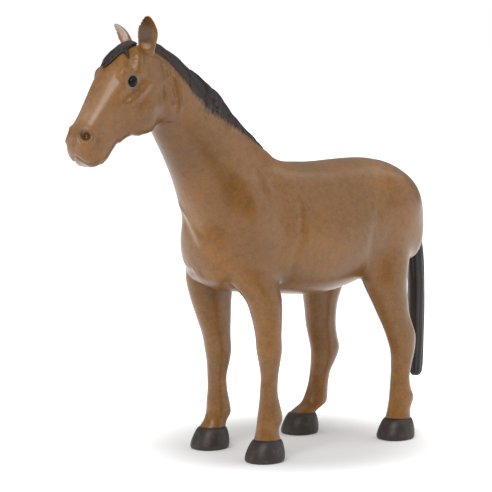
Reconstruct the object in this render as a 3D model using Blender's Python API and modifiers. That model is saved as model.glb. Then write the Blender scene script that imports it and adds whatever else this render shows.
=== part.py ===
"""Toy farm horse, standing: a hollow figure of two moulded halves with mane, forelock, tail, hooves and eyes.

Metres, +Z up. The horse faces -X, its left side is -Y, and it stands on Z = 0.
"""
from math import cos, pi, radians, sin

import bmesh
import bpy
from mathutils import Euler, Matrix, Vector

MM = 0.001

# Clearances, walls and mesh fineness
GAP = 0.3 * MM
OVERRUN = 5 * MM
WELD_REACH = 0.002 * MM
WALL = 2.2 * MM
NECK_WALL = 3.2 * MM
SKIN_VOXEL = 0.8 * MM
CORE_VOXEL = 1.6 * MM
SKIN_SMOOTHING_COUNT = 8
TORSO_VOXEL = 1.2 * MM
TORSO_SMOOTHING_COUNT = 36
CORE_SMOOTHING_COUNT = 4
SKIN_FACES_share = 0.05
CORE_FACES_share = 0.05
RING_SIDES = 32
SLIM_RING_SIDES = 14
PEG_SIDES = 20

# Trunk, from the point of the chest to the buttocks
CHEST_X = -30.9 * MM
TRUNK_LENGTH = 103.2 * MM
WITHERS_HEIGHT = 101.2 * MM
TRUNK_DEPTH = 47.8 * MM
TRUNK_WIDTH = 37.2 * MM

# Neck, from the middle of its root to the middle of the poll
NECK_ROOT_share = (0.183, 0.209)
NECK_LENGTH = 56 * MM
NECK_DEPTH = 30 * MM
NECK_WIDTH = 17 * MM
NECK_ANGLE = radians(134.3)

# Head, measured down the line of the face
FACE_TOP_share = (1.273, -0.084)
FACE_ANGLE = radians(237.3)
HEAD_LENGTH = 42.4 * MM
HEAD_DEPTH = 26.5 * MM
HEAD_WIDTH = 17.6 * MM
JAW_RADIUS = 8.6 * MM
JAW_THICKNESS = 4.4 * MM
BROW_RADIUS = 3.2 * MM

# Ears
EAR_PLACE_share = (-0.019, 0.299, 0.273)
EAR_HEIGHT = 11.9 * MM
EAR_WIDTH = 8 * MM
EAR_THICKNESS = 3.6 * MM
EAR_WALL = 0.9 * MM
EAR_SCOOP_share = 1.5
EAR_LEAN = radians(24)
LEFT_EAR_SPREAD = radians(12)
RIGHT_EAR_SPREAD = radians(20)
EAR_TURN = radians(30)
RIGHT_EAR_share = 0.79

# Legs and hooves
ELBOW_DROP = 32 * MM
STIFLE_DROP = 26 * MM
FORE_PLACE_share = 0.215
HIND_LEFT_PLACE_share = 0.823
HIND_RIGHT_PLACE_share = 0.7015
STANCE = 15 * MM
KNEE_THICKNESS = 9 * MM
HOCK_THICKNESS = 10.4 * MM
HOOF_HEIGHT = 7.4 * MM
HOOF_LENGTH = 13.8 * MM
HOOF_WIDTH = 12.8 * MM
HOOF_TOP_LENGTH = 9.6 * MM
HOOF_TOP_WIDTH = 9.2 * MM
HOOF_EDGE = 0.5 * MM
TOE_REACH = 1.1 * MM
ANKLE_PEG_RADIUS = 2.1 * MM
ANKLE_PEG_LENGTH = 3.8 * MM
ANKLE_PEG_ROOT = 0.8 * MM

# Mane, forelock and tail
MANE_DEPTH = 15 * MM
MANE_WIDTH = 12.6 * MM
MANE_RISE = 2.8 * MM
FORELOCK_LENGTH = 15 * MM
FORELOCK_WIDTH = 8.4 * MM
FORELOCK_THICKNESS = 5 * MM
TAIL_SET_BACK = 3.9 * MM
TAIL_DROP = 12.5 * MM
TAIL_END = 18 * MM
TAIL_LENGTH = 6.4 * MM
TAIL_WIDTH = 6.6 * MM
TAIL_PEG_RADIUS = 1.9 * MM
TAIL_PEG_LENGTH = 7 * MM

# Eyes
EYE_PLACE_share = (0.294, 0.239, 0.460)
EYE_LENGTH = 3.3 * MM
EYE_HEIGHT = 3.8 * MM
EYE_DEPTH = 3.2 * MM

# Locating pins between the halves
PIN_RADIUS = 1.4 * MM
PIN_REACH = 4 * MM
BOSS_RADIUS = 3.2 * MM

# Shapes: each row is in shares of the sizes above
# trunk: along the length, top in withers heights, bottom in depths below them, width, narrowing upwards
TRUNK_shares = (
    (0.000, 0.790, 0.560, 0.18, 0.00),
    (0.015, 0.850, 0.740, 0.42, 0.02),
    (0.050, 0.905, 0.840, 0.60, 0.04),
    (0.110, 0.955, 0.905, 0.74, 0.06),
    (0.200, 0.990, 0.935, 0.85, 0.10),
    (0.300, 1.008, 0.958, 0.93, 0.16),
    (0.410, 0.999, 0.985, 0.98, 0.16),
    (0.530, 0.995, 1.000, 1.00, 0.12),
    (0.650, 0.999, 0.962, 0.97, 0.08),
    (0.750, 1.000, 0.900, 0.92, 0.05),
    (0.850, 0.985, 0.850, 0.86, 0.04),
    (0.925, 0.950, 0.800, 0.74, 0.03),
    (0.975, 0.900, 0.720, 0.54, 0.01),
    (1.000, 0.840, 0.620, 0.26, 0.00),
)
# neck: crest along and across, throat along and across, width
NECK_shares = (
    (-0.222, -0.800, -0.145, 0.830, 1.50),
    (0.010, -0.640, 0.147, 0.630, 1.40),
    (0.326, -0.540, 0.318, 0.490, 1.18),
    (0.603, -0.485, 0.462, 0.412, 0.98),
    (0.830, -0.430, 0.590, 0.350, 0.90),
    (1.007, -0.370, 0.730, 0.310, 0.84),
    (1.144, -0.250, 1.020, 0.330, 0.78),
)
NECK_EGG_share = 0.30
# head: down the face, set back at the face, set back at the jaw, width
HEAD_shares = (
    (-0.02, 0.200, 0.720, 0.62),
    (0.10, 0.060, 0.860, 0.86),
    (0.24, 0.005, 0.940, 0.98),
    (0.38, 0.000, 0.950, 0.99),
    (0.52, 0.005, 0.810, 0.86),
    (0.66, 0.010, 0.635, 0.72),
    (0.78, 0.010, 0.585, 0.72),
    (0.88, 0.035, 0.565, 0.73),
    (0.96, 0.125, 0.500, 0.64),
    (1.00, 0.250, 0.410, 0.44),
)
HEAD_EGG_share = -0.06
HEAD_SQUARE_share = 2.5
BODY_SQUARE_share = 2.15
JAW_share = (0.40, 0.60, 0.30)
BROW_share = (0.275, 0.17, 0.37)
# muscles: along the trunk, below the withers in depths, aside in half widths; length, thickness and height
MUSCLES_shares = (
    (0.180, 0.440, 0.46, 0.120, 0.50, 0.42),
    (0.080, 0.620, 0.32, 0.060, 0.34, 0.24),
    (0.810, 0.420, 0.46, 0.150, 0.50, 0.34),
    (0.885, 0.520, 0.46, 0.085, 0.38, 0.30),
)
MUSCLE_TILTS = (radians(-24), 0, radians(18), radians(-14))
# ear: up the height, width, thickness
EAR_shares = (
    (0.00, 0.80, 1.00),
    (0.25, 1.00, 1.00),
    (0.50, 0.94, 0.86),
    (0.72, 0.72, 0.68),
    (0.90, 0.40, 0.46),
    (1.00, 0.12, 0.20),
)
# fore leg: height above the hoof, offset in x, length, width, sideways from the stance
FORE_LEFT_shares = (
    (1.000, -0.080, 2.30, 1.20, 0.60),
    (0.877, -0.040, 2.05, 1.34, 0.68),
    (0.770, 0.000, 1.50, 1.24, 0.80),
    (0.669, 0.006, 1.22, 1.10, 0.88),
    (0.579, 0.004, 1.05, 0.97, 0.94),
    (0.495, 0.004, 1.01, 0.94, 0.97),
    (0.433, 0.004, 0.87, 0.83, 0.98),
    (0.355, 0.002, 0.70, 0.68, 0.99),
    (0.259, -0.004, 0.71, 0.67, 1.00),
    (0.181, 0.001, 0.88, 0.79, 1.00),
    (0.117, 0.003, 1.02, 0.90, 1.00),
    (0.052, -0.013, 0.92, 0.83, 1.00),
    (0.000, -0.014, 1.06, 1.00, 1.00),
)
FORE_RIGHT_shares = (
    (1.000, -0.090, 2.30, 1.20, 0.60),
    (0.877, -0.078, 2.20, 1.36, 0.68),
    (0.753, -0.052, 1.82, 1.28, 0.80),
    (0.630, -0.019, 1.45, 1.16, 0.88),
    (0.529, 0.008, 1.17, 1.05, 0.94),
    (0.439, 0.024, 1.08, 1.01, 0.97),
    (0.372, 0.026, 0.94, 0.88, 0.98),
    (0.293, 0.020, 0.79, 0.75, 0.99),
    (0.215, 0.024, 0.80, 0.77, 1.00),
    (0.142, 0.028, 0.95, 0.87, 1.00),
    (0.080, 0.030, 1.03, 0.93, 1.00),
    (0.033, 0.008, 0.96, 0.88, 1.00),
    (0.000, -0.010, 1.06, 1.00, 1.00),
)
# hind leg: height above the hoof, offset in x, length, width, sideways from the stance
HIND_LEFT_shares = (
    (1.000, -0.050, 2.80, 1.44, 0.58),
    (0.878, -0.060, 2.32, 1.44, 0.66),
    (0.789, -0.070, 1.98, 1.38, 0.74),
    (0.711, -0.072, 1.68, 1.26, 0.81),
    (0.622, -0.056, 1.40, 1.10, 0.88),
    (0.550, -0.038, 1.24, 0.96, 0.92),
    (0.489, -0.016, 1.20, 0.88, 0.95),
    (0.433, 0.002, 1.16, 0.85, 0.97),
    (0.356, 0.010, 0.93, 0.77, 0.98),
    (0.278, 0.000, 0.75, 0.69, 0.99),
    (0.211, -0.008, 0.70, 0.66, 1.00),
    (0.151, -0.005, 0.80, 0.73, 1.00),
    (0.107, 0.002, 0.94, 0.80, 1.00),
    (0.047, -0.014, 0.86, 0.76, 1.00),
    (0.000, -0.020, 0.92, 0.87, 1.00),
)
HIND_RIGHT_shares = (
    (1.000, 0.090, 2.90, 1.44, 0.58),
    (0.850, 0.044, 2.40, 1.44, 0.68),
    (0.744, 0.000, 1.80, 1.34, 0.78),
    (0.640, -0.014, 1.44, 1.18, 0.86),
    (0.564, -0.012, 1.26, 1.03, 0.90),
    (0.474, -0.003, 1.18, 0.93, 0.94),
    (0.400, 0.014, 1.16, 0.87, 0.96),
    (0.333, 0.032, 1.16, 0.85, 0.98),
    (0.264, 0.020, 0.95, 0.78, 0.99),
    (0.211, 0.004, 0.78, 0.69, 1.00),
    (0.144, -0.009, 0.76, 0.68, 1.00),
    (0.084, -0.022, 0.88, 0.75, 1.00),
    (0.047, -0.036, 0.96, 0.81, 1.00),
    (0.022, -0.076, 0.94, 0.82, 1.00),
    (0.000, -0.113, 0.90, 0.87, 1.00),
)
# mane: place along the crest of the neck, depth, width, rise above the crest
MANE_shares = (
    (0.965, 0.42, 0.46, 0.50),
    (0.925, 0.62, 0.66, 0.85),
    (0.880, 0.76, 0.78, 1.00),
    (0.820, 0.84, 0.86, 1.10),
    (0.760, 0.92, 0.92, 1.10),
    (0.700, 0.90, 0.96, 1.15),
    (0.640, 1.00, 1.00, 1.25),
    (0.580, 0.97, 1.02, 1.20),
    (0.520, 1.06, 1.06, 1.25),
    (0.460, 0.96, 1.04, 0.95),
    (0.400, 0.98, 1.02, 0.70),
    (0.340, 0.86, 0.96, 0.42),
    (0.280, 0.74, 0.84, 0.28),
    (0.225, 0.50, 0.60, 0.20),
    (0.190, 0.26, 0.34, 0.10),
)
MANE_EGG_share = 0.42
CREST_STEP_share = 0.02
# forelock: down its length, sideways, width, thickness
FORELOCK_shares = (
    (0.00, 0.00, 0.60, 0.60),
    (0.20, 0.00, 0.95, 1.00),
    (0.45, 0.05, 1.00, 1.00),
    (0.70, 0.15, 0.76, 0.80),
    (0.90, 0.24, 0.44, 0.55),
    (1.00, 0.28, 0.18, 0.30),
)
FORELOCK_BOW_share = 0.35
FORELOCK_AIM_share = 0.30
# tail: height between its end and its top, forward of the line of the tail, length, width
TAIL_shares = (
    (0.000, 0.00, 0.30, 0.30),
    (0.012, 0.00, 0.62, 0.62),
    (0.050, 0.00, 0.86, 0.84),
    (0.180, 0.00, 0.96, 0.94),
    (0.400, 0.00, 1.04, 1.00),
    (0.600, 0.05, 0.98, 1.00),
    (0.720, 0.16, 0.90, 0.92),
    (0.830, 0.34, 0.84, 0.84),
    (0.920, 0.60, 0.86, 0.80),
    (0.980, 0.95, 0.86, 0.76),
)
# pins: along the trunk or neck, below the withers or across the neck, half width of the skin there
PIN_PLACES_shares = (
    (0.16, 0.42, 0.785),
    (0.50, 0.62, 0.960),
    (0.76, 0.36, 0.872),
)
NECK_PIN_share = (0.46, 0.10, 0.847)
TRIM_REACH_share = 0.62
SMOOTH_EDGE = radians(35)

# Finishes: base colour, roughness
BROWN = (0.30, 0.135, 0.055, 1)
CHARCOAL = (0.030, 0.024, 0.022, 1)
BLACK = (0.004, 0.004, 0.004, 1)
BROWN_ROUGHNESS = 0.42
CHARCOAL_ROUGHNESS = 0.5
EYE_ROUGHNESS = 0.12


def clear_scene():
    for thing in list(bpy.data.objects):
        bpy.data.objects.remove(thing, do_unlink=True)


def collection(name, shown=True):
    group = bpy.data.collections.new(name)
    bpy.context.scene.collection.children.link(group)
    group.hide_render = not shown
    return group


def material(name, colour, roughness):
    finish = bpy.data.materials.new(name)
    finish.use_nodes = True
    shader = finish.node_tree.nodes["Principled BSDF"]
    shader.inputs["Base Color"].default_value = colour
    shader.inputs["Roughness"].default_value = roughness
    shader.inputs["Metallic"].default_value = 0
    finish.diffuse_color = colour
    return finish


def dress(thing, finish):
    """Gives a node its finish and smooth shading."""
    thing.data.materials.clear()
    thing.data.materials.append(finish)
    thing.data.shade_smooth()
    thing.data.set_sharp_from_angle(angle=SMOOTH_EDGE)


def mesh_object(name, bm, group):
    """Turns a bmesh into an object of the collection."""
    bmesh.ops.recalc_face_normals(bm, faces=bm.faces)
    mesh = bpy.data.meshes.new(name)
    bm.to_mesh(mesh)
    bm.free()
    thing = bpy.data.objects.new(name, mesh)
    group.objects.link(thing)
    return thing


def bake(thing):
    """Applies an object's modifiers."""
    evaluated = thing.evaluated_get(bpy.context.evaluated_depsgraph_get())
    mesh = bpy.data.meshes.new_from_object(evaluated)
    thing.modifiers.clear()
    thing.data = mesh
    return thing


def smooth_rows(rows, steps=3):
    """Rows of a table with more between them, on a smooth curve through the given ones."""
    smooth = []
    last = len(rows) - 1
    for index in range(last):
        before = rows[max(index - 1, 0)]
        start = rows[index]
        end = rows[index + 1]
        after = rows[min(index + 2, last)]
        for step in range(steps):
            t = step / steps
            row = []
            for a, b, c, d in zip(before, start, end, after):
                bend = 2 * a - 5 * b + 4 * c - d + t * (3 * b - a - 3 * c + d)
                row.append(b + t * (c - a + t * bend) / 2)
            smooth.append(tuple(row))
    smooth.append(rows[last])
    return smooth


def section(middle, up, side, square=2.0, egg=0.0):
    """One ring of a loft: half axes, how square it is, and how much it narrows towards its up side."""
    return middle, up, side, square, egg


def ring_point(place, spec):
    """Moves a point of the unit circle to the ring."""
    middle, up, side, square, egg = spec
    power = 2 / square
    across = abs(place.x) ** power * (1 if place.x > 0 else -1)
    along = abs(place.y) ** power * (1 if place.y > 0 else -1)
    return middle + up * along + side * across * (1 - egg * along)


def loft(name, sections, group, points=RING_SIDES):
    """A closed skin through rings, each a circle reshaped and bridged to the next."""
    bm = bmesh.new()
    loops = []
    last = len(sections) - 1
    for index, spec in enumerate(sections):
        capped = index in (0, last)
        made = bmesh.ops.create_circle(bm, cap_ends=capped, segments=points, radius=1)
        verts = made["verts"]
        edges = {edge for vert in verts for edge in vert.link_edges}
        for vert in verts:
            vert.co = ring_point(vert.co.copy(), spec)
        loops.append(list(edges))
    for lower, upper in zip(loops, loops[1:]):
        bmesh.ops.bridge_loops(bm, edges=lower + upper)
    return mesh_object(name, bm, group)


def ellipsoid(name, middle, radii, group, turn=None, segments=16, rings=10):
    bm = bmesh.new()
    bmesh.ops.create_uvsphere(bm, u_segments=segments, v_segments=rings, radius=1)
    place = Matrix.Translation(middle)
    if turn is not None:
        place = place @ turn.to_matrix().to_4x4()
    bmesh.ops.transform(bm, matrix=place @ Matrix.Diagonal((*radii, 1)), verts=bm.verts)
    return mesh_object(name, bm, group)


def cylinder(name, start, end, radius, group):
    """A closed round bar between two points."""
    bm = bmesh.new()
    axis = end - start
    bmesh.ops.create_cone(bm, cap_ends=True, segments=PEG_SIDES, radius1=radius, radius2=radius,
                          depth=axis.length)
    turn = axis.to_track_quat("Z", "Y").to_matrix().to_4x4()
    bmesh.ops.transform(bm, matrix=Matrix.Translation((start + end) / 2) @ turn, verts=bm.verts)
    return mesh_object(name, bm, group)


def block(name, low, high, group):
    """A box between two corners."""
    bm = bmesh.new()
    bmesh.ops.create_cube(bm, size=1)
    place = Matrix.Translation((low + high) / 2) @ Matrix.Diagonal((*(high - low), 1))
    bmesh.ops.transform(bm, matrix=place, verts=bm.verts)
    return mesh_object(name, bm, group)


def boolean(thing, tool, operation):
    """Joins a tool to an object or takes it away, and welds stray corners; the tool stays as a guide."""
    step = thing.modifiers.new(operation.title(), "BOOLEAN")
    step.operation = operation
    step.solver = "EXACT"
    step.object = tool
    weld = thing.modifiers.new("Weld", "WELD")
    weld.merge_threshold = WELD_REACH
    tool.hide_render = True
    tool.display_type = "WIRE"
    return bake(thing)


def blend_together(name, pieces, group, voxel, smoothing, faces_share=1.0):
    """Melts overlapping lofts into one smooth skin, with few faces where a share of them is given."""
    bm = bmesh.new()
    for piece in pieces:
        bm.from_mesh(piece.data)
    body = mesh_object(name, bm, group)
    merge = body.modifiers.new("Melt", "REMESH")
    merge.mode = "VOXEL"
    merge.voxel_size = voxel
    soften = body.modifiers.new("Soften", "SMOOTH")
    soften.factor = 0.5
    soften.iterations = smoothing
    if faces_share < 1:
        thin = body.modifiers.new("Thin", "DECIMATE")
        thin.ratio = faces_share
        thin.use_collapse_triangulate = True
    for piece in pieces:
        bpy.data.objects.remove(piece, do_unlink=True)
    return bake(body)


def trunk_sections(wall=0.0):
    """The barrel, from chest to buttocks; a wall thickness makes the hollow's sections."""
    sections = []
    rows = TRUNK_shares[2:-3] if wall else smooth_rows(TRUNK_shares)
    for along, top, bottom, width, egg in rows:
        x = CHEST_X + along * TRUNK_LENGTH
        high = top * WITHERS_HEIGHT - wall
        low = WITHERS_HEIGHT - bottom * TRUNK_DEPTH + wall
        middle = Vector((x, 0, (high + low) / 2))
        up = Vector((0, 0, (high - low) / 2))
        side = Vector((0, width * TRUNK_WIDTH / 2 - wall, 0))
        sections.append(section(middle, up, side, BODY_SQUARE_share, egg))
    return sections


def neck_frame():
    """The directions along the neck and from crest to throat."""
    along = Vector((cos(NECK_ANGLE), 0, sin(NECK_ANGLE)))
    across = Vector((-along.z, 0, along.x))
    return along, across


def trunk_point(along_share, below_share):
    """A point on the mid-plane, along the trunk and below the withers."""
    return Vector((CHEST_X + along_share * TRUNK_LENGTH, 0, WITHERS_HEIGHT - below_share * TRUNK_DEPTH))


def neck_edge(along_share, across_share):
    """A point on the mid-plane, along the neck and across it towards the throat."""
    along, across = neck_frame()
    root = trunk_point(*NECK_ROOT_share)
    return root + along * along_share * NECK_LENGTH + across * across_share * NECK_DEPTH


def neck_sections(wall=0.0):
    """The neck; its hollow stays clear of the mane's seat along the crest."""
    sections = []
    rows = NECK_shares[1:-1] if wall else smooth_rows(NECK_shares)
    for crest_along, crest_across, throat_along, throat_across, width in rows:
        crest = neck_edge(crest_along, crest_across)
        throat = neck_edge(throat_along, throat_across)
        down = (throat - crest).normalized()
        if wall:
            crest = crest + down * (MANE_DEPTH + wall)
            throat = throat - down * wall
        side = Vector((0, width * NECK_WIDTH / 2 - wall, 0))
        egg = 0 if wall else NECK_EGG_share
        sections.append(section((crest + throat) / 2, (crest - throat) / 2, side, BODY_SQUARE_share, egg))
    return sections


def face_frame():
    """The directions down the face and from face to jaw."""
    down = Vector((cos(FACE_ANGLE), 0, sin(FACE_ANGLE)))
    back = Vector((-down.z, 0, down.x))
    return down, back


def face_point(down_share, back_share, side_share=0.0):
    """A point of the head: down the face, back from it, and to the horse's left."""
    down, back = face_frame()
    side = Vector((0, -side_share * HEAD_WIDTH, 0))
    top = neck_edge(*FACE_TOP_share)
    return top + down * down_share * HEAD_LENGTH + back * back_share * HEAD_DEPTH + side


def head_sections(wall=0.0):
    sections = []
    rows = HEAD_shares[2:-3] if wall else smooth_rows(HEAD_shares)
    for down_share, front, back, width in rows:
        face = face_point(down_share, front)
        jaw = face_point(down_share, back)
        inward = (jaw - face).normalized()
        face = face + inward * wall
        jaw = jaw - inward * wall
        side = Vector((0, width * HEAD_WIDTH / 2 - wall, 0))
        egg = 0 if wall else HEAD_EGG_share
        sections.append(section((face + jaw) / 2, (face - jaw) / 2, side, HEAD_SQUARE_share, egg))
    return sections


def leg_sections(rows, height, x, hand, thickness):
    """One leg; hand is -1 on the horse's left and 1 on its right."""
    sections = []
    for up, forward, length, width, spread in smooth_rows(rows):
        z = HOOF_HEIGHT + up * (height - HOOF_HEIGHT)
        middle = Vector((x + forward * height, hand * spread * STANCE, z))
        lengthways = Vector((length * thickness / 2, 0, 0))
        sideways = Vector((0, width * thickness / 2, 0))
        sections.append(section(middle, lengthways, sideways, BODY_SQUARE_share))
    return sections


def legs():
    """Each leg's name, shares, height, place, side and thickness."""
    fore = trunk_point(FORE_PLACE_share, 0).x
    hind_left = trunk_point(HIND_LEFT_PLACE_share, 0).x
    hind_right = trunk_point(HIND_RIGHT_PLACE_share, 0).x
    elbow = WITHERS_HEIGHT - ELBOW_DROP
    stifle = WITHERS_HEIGHT - STIFLE_DROP
    return (
        ("front_left", FORE_LEFT_shares, elbow, fore, -1, KNEE_THICKNESS),
        ("front_right", FORE_RIGHT_shares, elbow, fore, 1, KNEE_THICKNESS),
        ("hind_left", HIND_LEFT_shares, stifle, hind_left, -1, HOCK_THICKNESS),
        ("hind_right", HIND_RIGHT_shares, stifle, hind_right, 1, HOCK_THICKNESS),
    )


def ankle(rows, height, x, hand):
    """The middle of a leg's flat lower end, on top of its hoof."""
    up, forward, length, width, spread = rows[-1]
    return Vector((x + forward * height, hand * spread * STANCE, HOOF_HEIGHT + GAP))


def ear_frame(hand):
    """The ear's own axes, turned outwards: width, opening and height."""
    spread = RIGHT_EAR_SPREAD if hand > 0 else LEFT_EAR_SPREAD
    turn = Euler((-hand * spread, -EAR_LEAN, -hand * EAR_TURN)).to_matrix()
    return turn @ Vector((0, 1, 0)), turn @ Vector((1, 0, 0)), turn @ Vector((0, 0, 1))


def ear(name, hand, group):
    """A leaf-shaped ear with a hollow that faces forwards."""
    wide, deep, up = ear_frame(hand)
    tall = EAR_HEIGHT * (RIGHT_EAR_share if hand > 0 else 1)
    down, back, side = EAR_PLACE_share
    root = face_point(down, back, -hand * side)
    outer = []
    inner = []
    for height, width, thickness in EAR_shares:
        middle = root + up * height * tall
        half_width = wide * width * EAR_WIDTH / 2
        half_depth = deep * thickness * EAR_THICKNESS / 2
        outer.append(section(middle, half_width, half_depth))
        shift = -deep * (thickness * EAR_THICKNESS / 2 + EAR_WALL / 2)
        slim = max(1 - 2 * EAR_WALL / (width * EAR_WIDTH), 1 / 3)
        inner.append(section(middle + up * EAR_WALL + shift, half_width * slim, half_depth * EAR_SCOOP_share))
    shell = loft(name, outer, group, SLIM_RING_SIDES)
    scoop = loft(name + "_scoop", inner[1:-1], group, SLIM_RING_SIDES)
    return boolean(shell, scoop, "DIFFERENCE")


def crest_at(share):
    """A point on the neck's crest; share 0 is at the withers and 1 at the poll."""
    low = NECK_shares[0][0]
    high = NECK_shares[-1][0]
    level = low + share * (high - low)
    for lower, upper in zip(NECK_shares, NECK_shares[1:]):
        if level <= upper[0] or upper is NECK_shares[-1]:
            part = (level - lower[0]) / (upper[0] - lower[0])
            return neck_edge(level, lower[1] + part * (upper[1] - lower[1]))


def mane_sections(extra=0.0):
    """The mane, an egg-shaped strip sunk in the crest; extra makes its seat."""
    sections = []
    for place, depth, width, rise in MANE_shares:
        crest = crest_at(place)
        ahead = crest_at(place + CREST_STEP_share)
        along = (ahead - crest).normalized()
        inward = Vector((-along.z, 0, along.x))
        half_depth = depth * MANE_DEPTH / 2
        middle = crest + inward * (half_depth - rise * MANE_RISE)
        outward = -inward * (half_depth + extra)
        side = Vector((0, width * MANE_WIDTH / 2 + extra, 0))
        sections.append(section(middle, outward, side, BODY_SQUARE_share, MANE_EGG_share))
    first = sections[0]
    last = sections[-1]
    along = (first[0] - last[0]).normalized()
    sections[0] = section(first[0] + along * extra, *first[1:])
    sections[-1] = section(last[0] - along * extra, *last[1:])
    return sections


def forelock_sections(extra=0.0):
    """The forelock, a lens-shaped lock sunk in the forehead."""
    down, back = face_frame()
    start = crest_at(1) - down * GAP
    target = face_point(FORELOCK_AIM_share, 0)
    run = (target - start).normalized()
    lift = Vector((run.z, 0, -run.x))
    sections = []
    for along, aside, width, thickness in FORELOCK_shares:
        middle = start + run * along * FORELOCK_LENGTH
        middle.y = aside * FORELOCK_WIDTH
        bow = lift * sin(pi * along) * FORELOCK_THICKNESS * FORELOCK_BOW_share
        up = lift * (thickness * FORELOCK_THICKNESS / 2 + extra)
        side = Vector((0, width * FORELOCK_WIDTH / 2 + extra, 0))
        sections.append(section(middle + bow, up, side))
    return sections


def tail_point(height_share, forward_share):
    """A point on the middle line of the tail."""
    behind = trunk_point(1, 0).x + TAIL_SET_BACK
    top = WITHERS_HEIGHT - TAIL_DROP
    return Vector((behind - forward_share * TAIL_LENGTH, 0, TAIL_END + height_share * (top - TAIL_END)))


def tail_sections(extra=0.0):
    """The tail, hanging from the dock; extra makes the hollow between the buttocks that it lies in."""
    sections = []
    for height, forward, length, width in smooth_rows(TAIL_shares, 2):
        lengthways = Vector((length * TAIL_LENGTH / 2 + extra, 0, 0))
        sideways = Vector((0, width * TAIL_WIDTH / 2 + extra, 0))
        sections.append(section(tail_point(height, forward), lengthways, sideways))
    first = sections[0]
    last = sections[-1]
    sections[0] = section(first[0] - Vector((0, 0, extra)), *first[1:])
    sections[-1] = section(last[0] + Vector((0, 0, extra)), *last[1:])
    return sections


def dock():
    """The middle of the tail's top, where its peg starts."""
    height, forward, length, width = TAIL_shares[-2]
    return tail_point(height, forward)


def hoof(name, rows, height, x, hand):
    """A flared hoof with a flat sole and a blind socket for the ankle's peg."""
    top = ankle(rows, height, x, hand)
    sole = Vector((top.x - TOE_REACH, top.y, 0))
    rim = Vector((top.x, top.y, HOOF_HEIGHT))
    sections = []
    for place, length, width, inset in (
        (sole, HOOF_LENGTH, HOOF_WIDTH, HOOF_EDGE),
        (sole + Vector((0, 0, HOOF_EDGE)), HOOF_LENGTH, HOOF_WIDTH, 0),
        (rim - Vector((0, 0, HOOF_EDGE)), HOOF_TOP_LENGTH, HOOF_TOP_WIDTH, 0),
        (rim, HOOF_TOP_LENGTH, HOOF_TOP_WIDTH, HOOF_EDGE),
    ):
        half_length = Vector((length / 2 - inset, 0, 0))
        half_width = Vector((0, width / 2 - inset, 0))
        sections.append(section(place, half_length, half_width, BODY_SQUARE_share))
    cap = loft(name, sections, parts)
    socket_end = top - Vector((0, 0, ANKLE_PEG_LENGTH + GAP))
    start = top + Vector((0, 0, OVERRUN))
    boolean(cap, cylinder(name + "_socket", start, socket_end, ANKLE_PEG_RADIUS + GAP, cutters), "DIFFERENCE")
    dress(cap, charcoal)


def eye(name, hand, group, extra=0.0):
    """An oval bead; extra makes its socket."""
    down, back, side = EYE_PLACE_share
    place = face_point(down, back, -hand * side)
    radii = (EYE_LENGTH / 2 + extra, EYE_DEPTH / 2 + extra, EYE_HEIGHT / 2 + extra)
    return ellipsoid(name, place, radii, group, segments=14, rings=8)


def muscle(row, tilt, hand):
    """A rounded mass under the skin, such as the shoulder or the haunch."""
    along, below, aside, length, thickness, height = row
    middle = trunk_point(along, below) + Vector((0, hand * aside * TRUNK_WIDTH / 2, 0))
    radii = (length * TRUNK_LENGTH, thickness * TRUNK_WIDTH / 2, height * TRUNK_DEPTH)
    return ellipsoid("muscle", middle, radii, cutters, Euler((0, tilt, 0)), 24, 16)


def outer_skin():
    """The whole figure's skin before it is parted, with its legs cut level above the hooves."""
    torso = [
        loft("trunk", trunk_sections(), cutters),
        loft("neck", neck_sections(), cutters),
    ]
    for hand in (-1, 1):
        for row, tilt in zip(MUSCLES_shares, MUSCLE_TILTS):
            torso.append(muscle(row, tilt, hand))
    pieces = [
        blend_together("torso", torso, cutters, TORSO_VOXEL, TORSO_SMOOTHING_COUNT),
        loft("head", head_sections(), cutters),
    ]
    jaw_down, jaw_back, jaw_side = JAW_share
    brow_down, brow_back, brow_side = BROW_share
    for hand in (-1, 1):
        pieces.append(ellipsoid("jaw", face_point(jaw_down, jaw_back, -hand * jaw_side),
                                (JAW_RADIUS, JAW_THICKNESS, JAW_RADIUS), cutters))
        pieces.append(ellipsoid("brow", face_point(brow_down, brow_back, -hand * brow_side),
                                (BROW_RADIUS, BROW_RADIUS / 2, BROW_RADIUS), cutters))
    for name, rows, height, x, hand, thickness in legs():
        pieces.append(loft("leg_" + name, leg_sections(rows, height, x, hand, thickness), cutters))
    return blend_together("skin", pieces, cutters, SKIN_VOXEL, SKIN_SMOOTHING_COUNT, SKIN_FACES_share)


def hollow_core():
    """The figure's hollow, which both halves share."""
    pieces = [
        loft("trunk_core", trunk_sections(WALL), cutters),
        loft("neck_core", neck_sections(NECK_WALL), cutters),
        loft("head_core", head_sections(WALL), cutters),
    ]
    return blend_together("hollow", pieces, cutters, CORE_VOXEL, CORE_SMOOTHING_COUNT, CORE_FACES_share)


def pins():
    """Each pin's place on the mid-plane, and how far its boss reaches into a half's wall."""
    found = []
    for along, below, width in PIN_PLACES_shares:
        found.append((trunk_point(along, below), (width * TRUNK_WIDTH - WALL) / 2))
    along, across, width = NECK_PIN_share
    found.append((neck_edge(along, across), (width * NECK_WIDTH - WALL) / 2))
    return found


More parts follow.
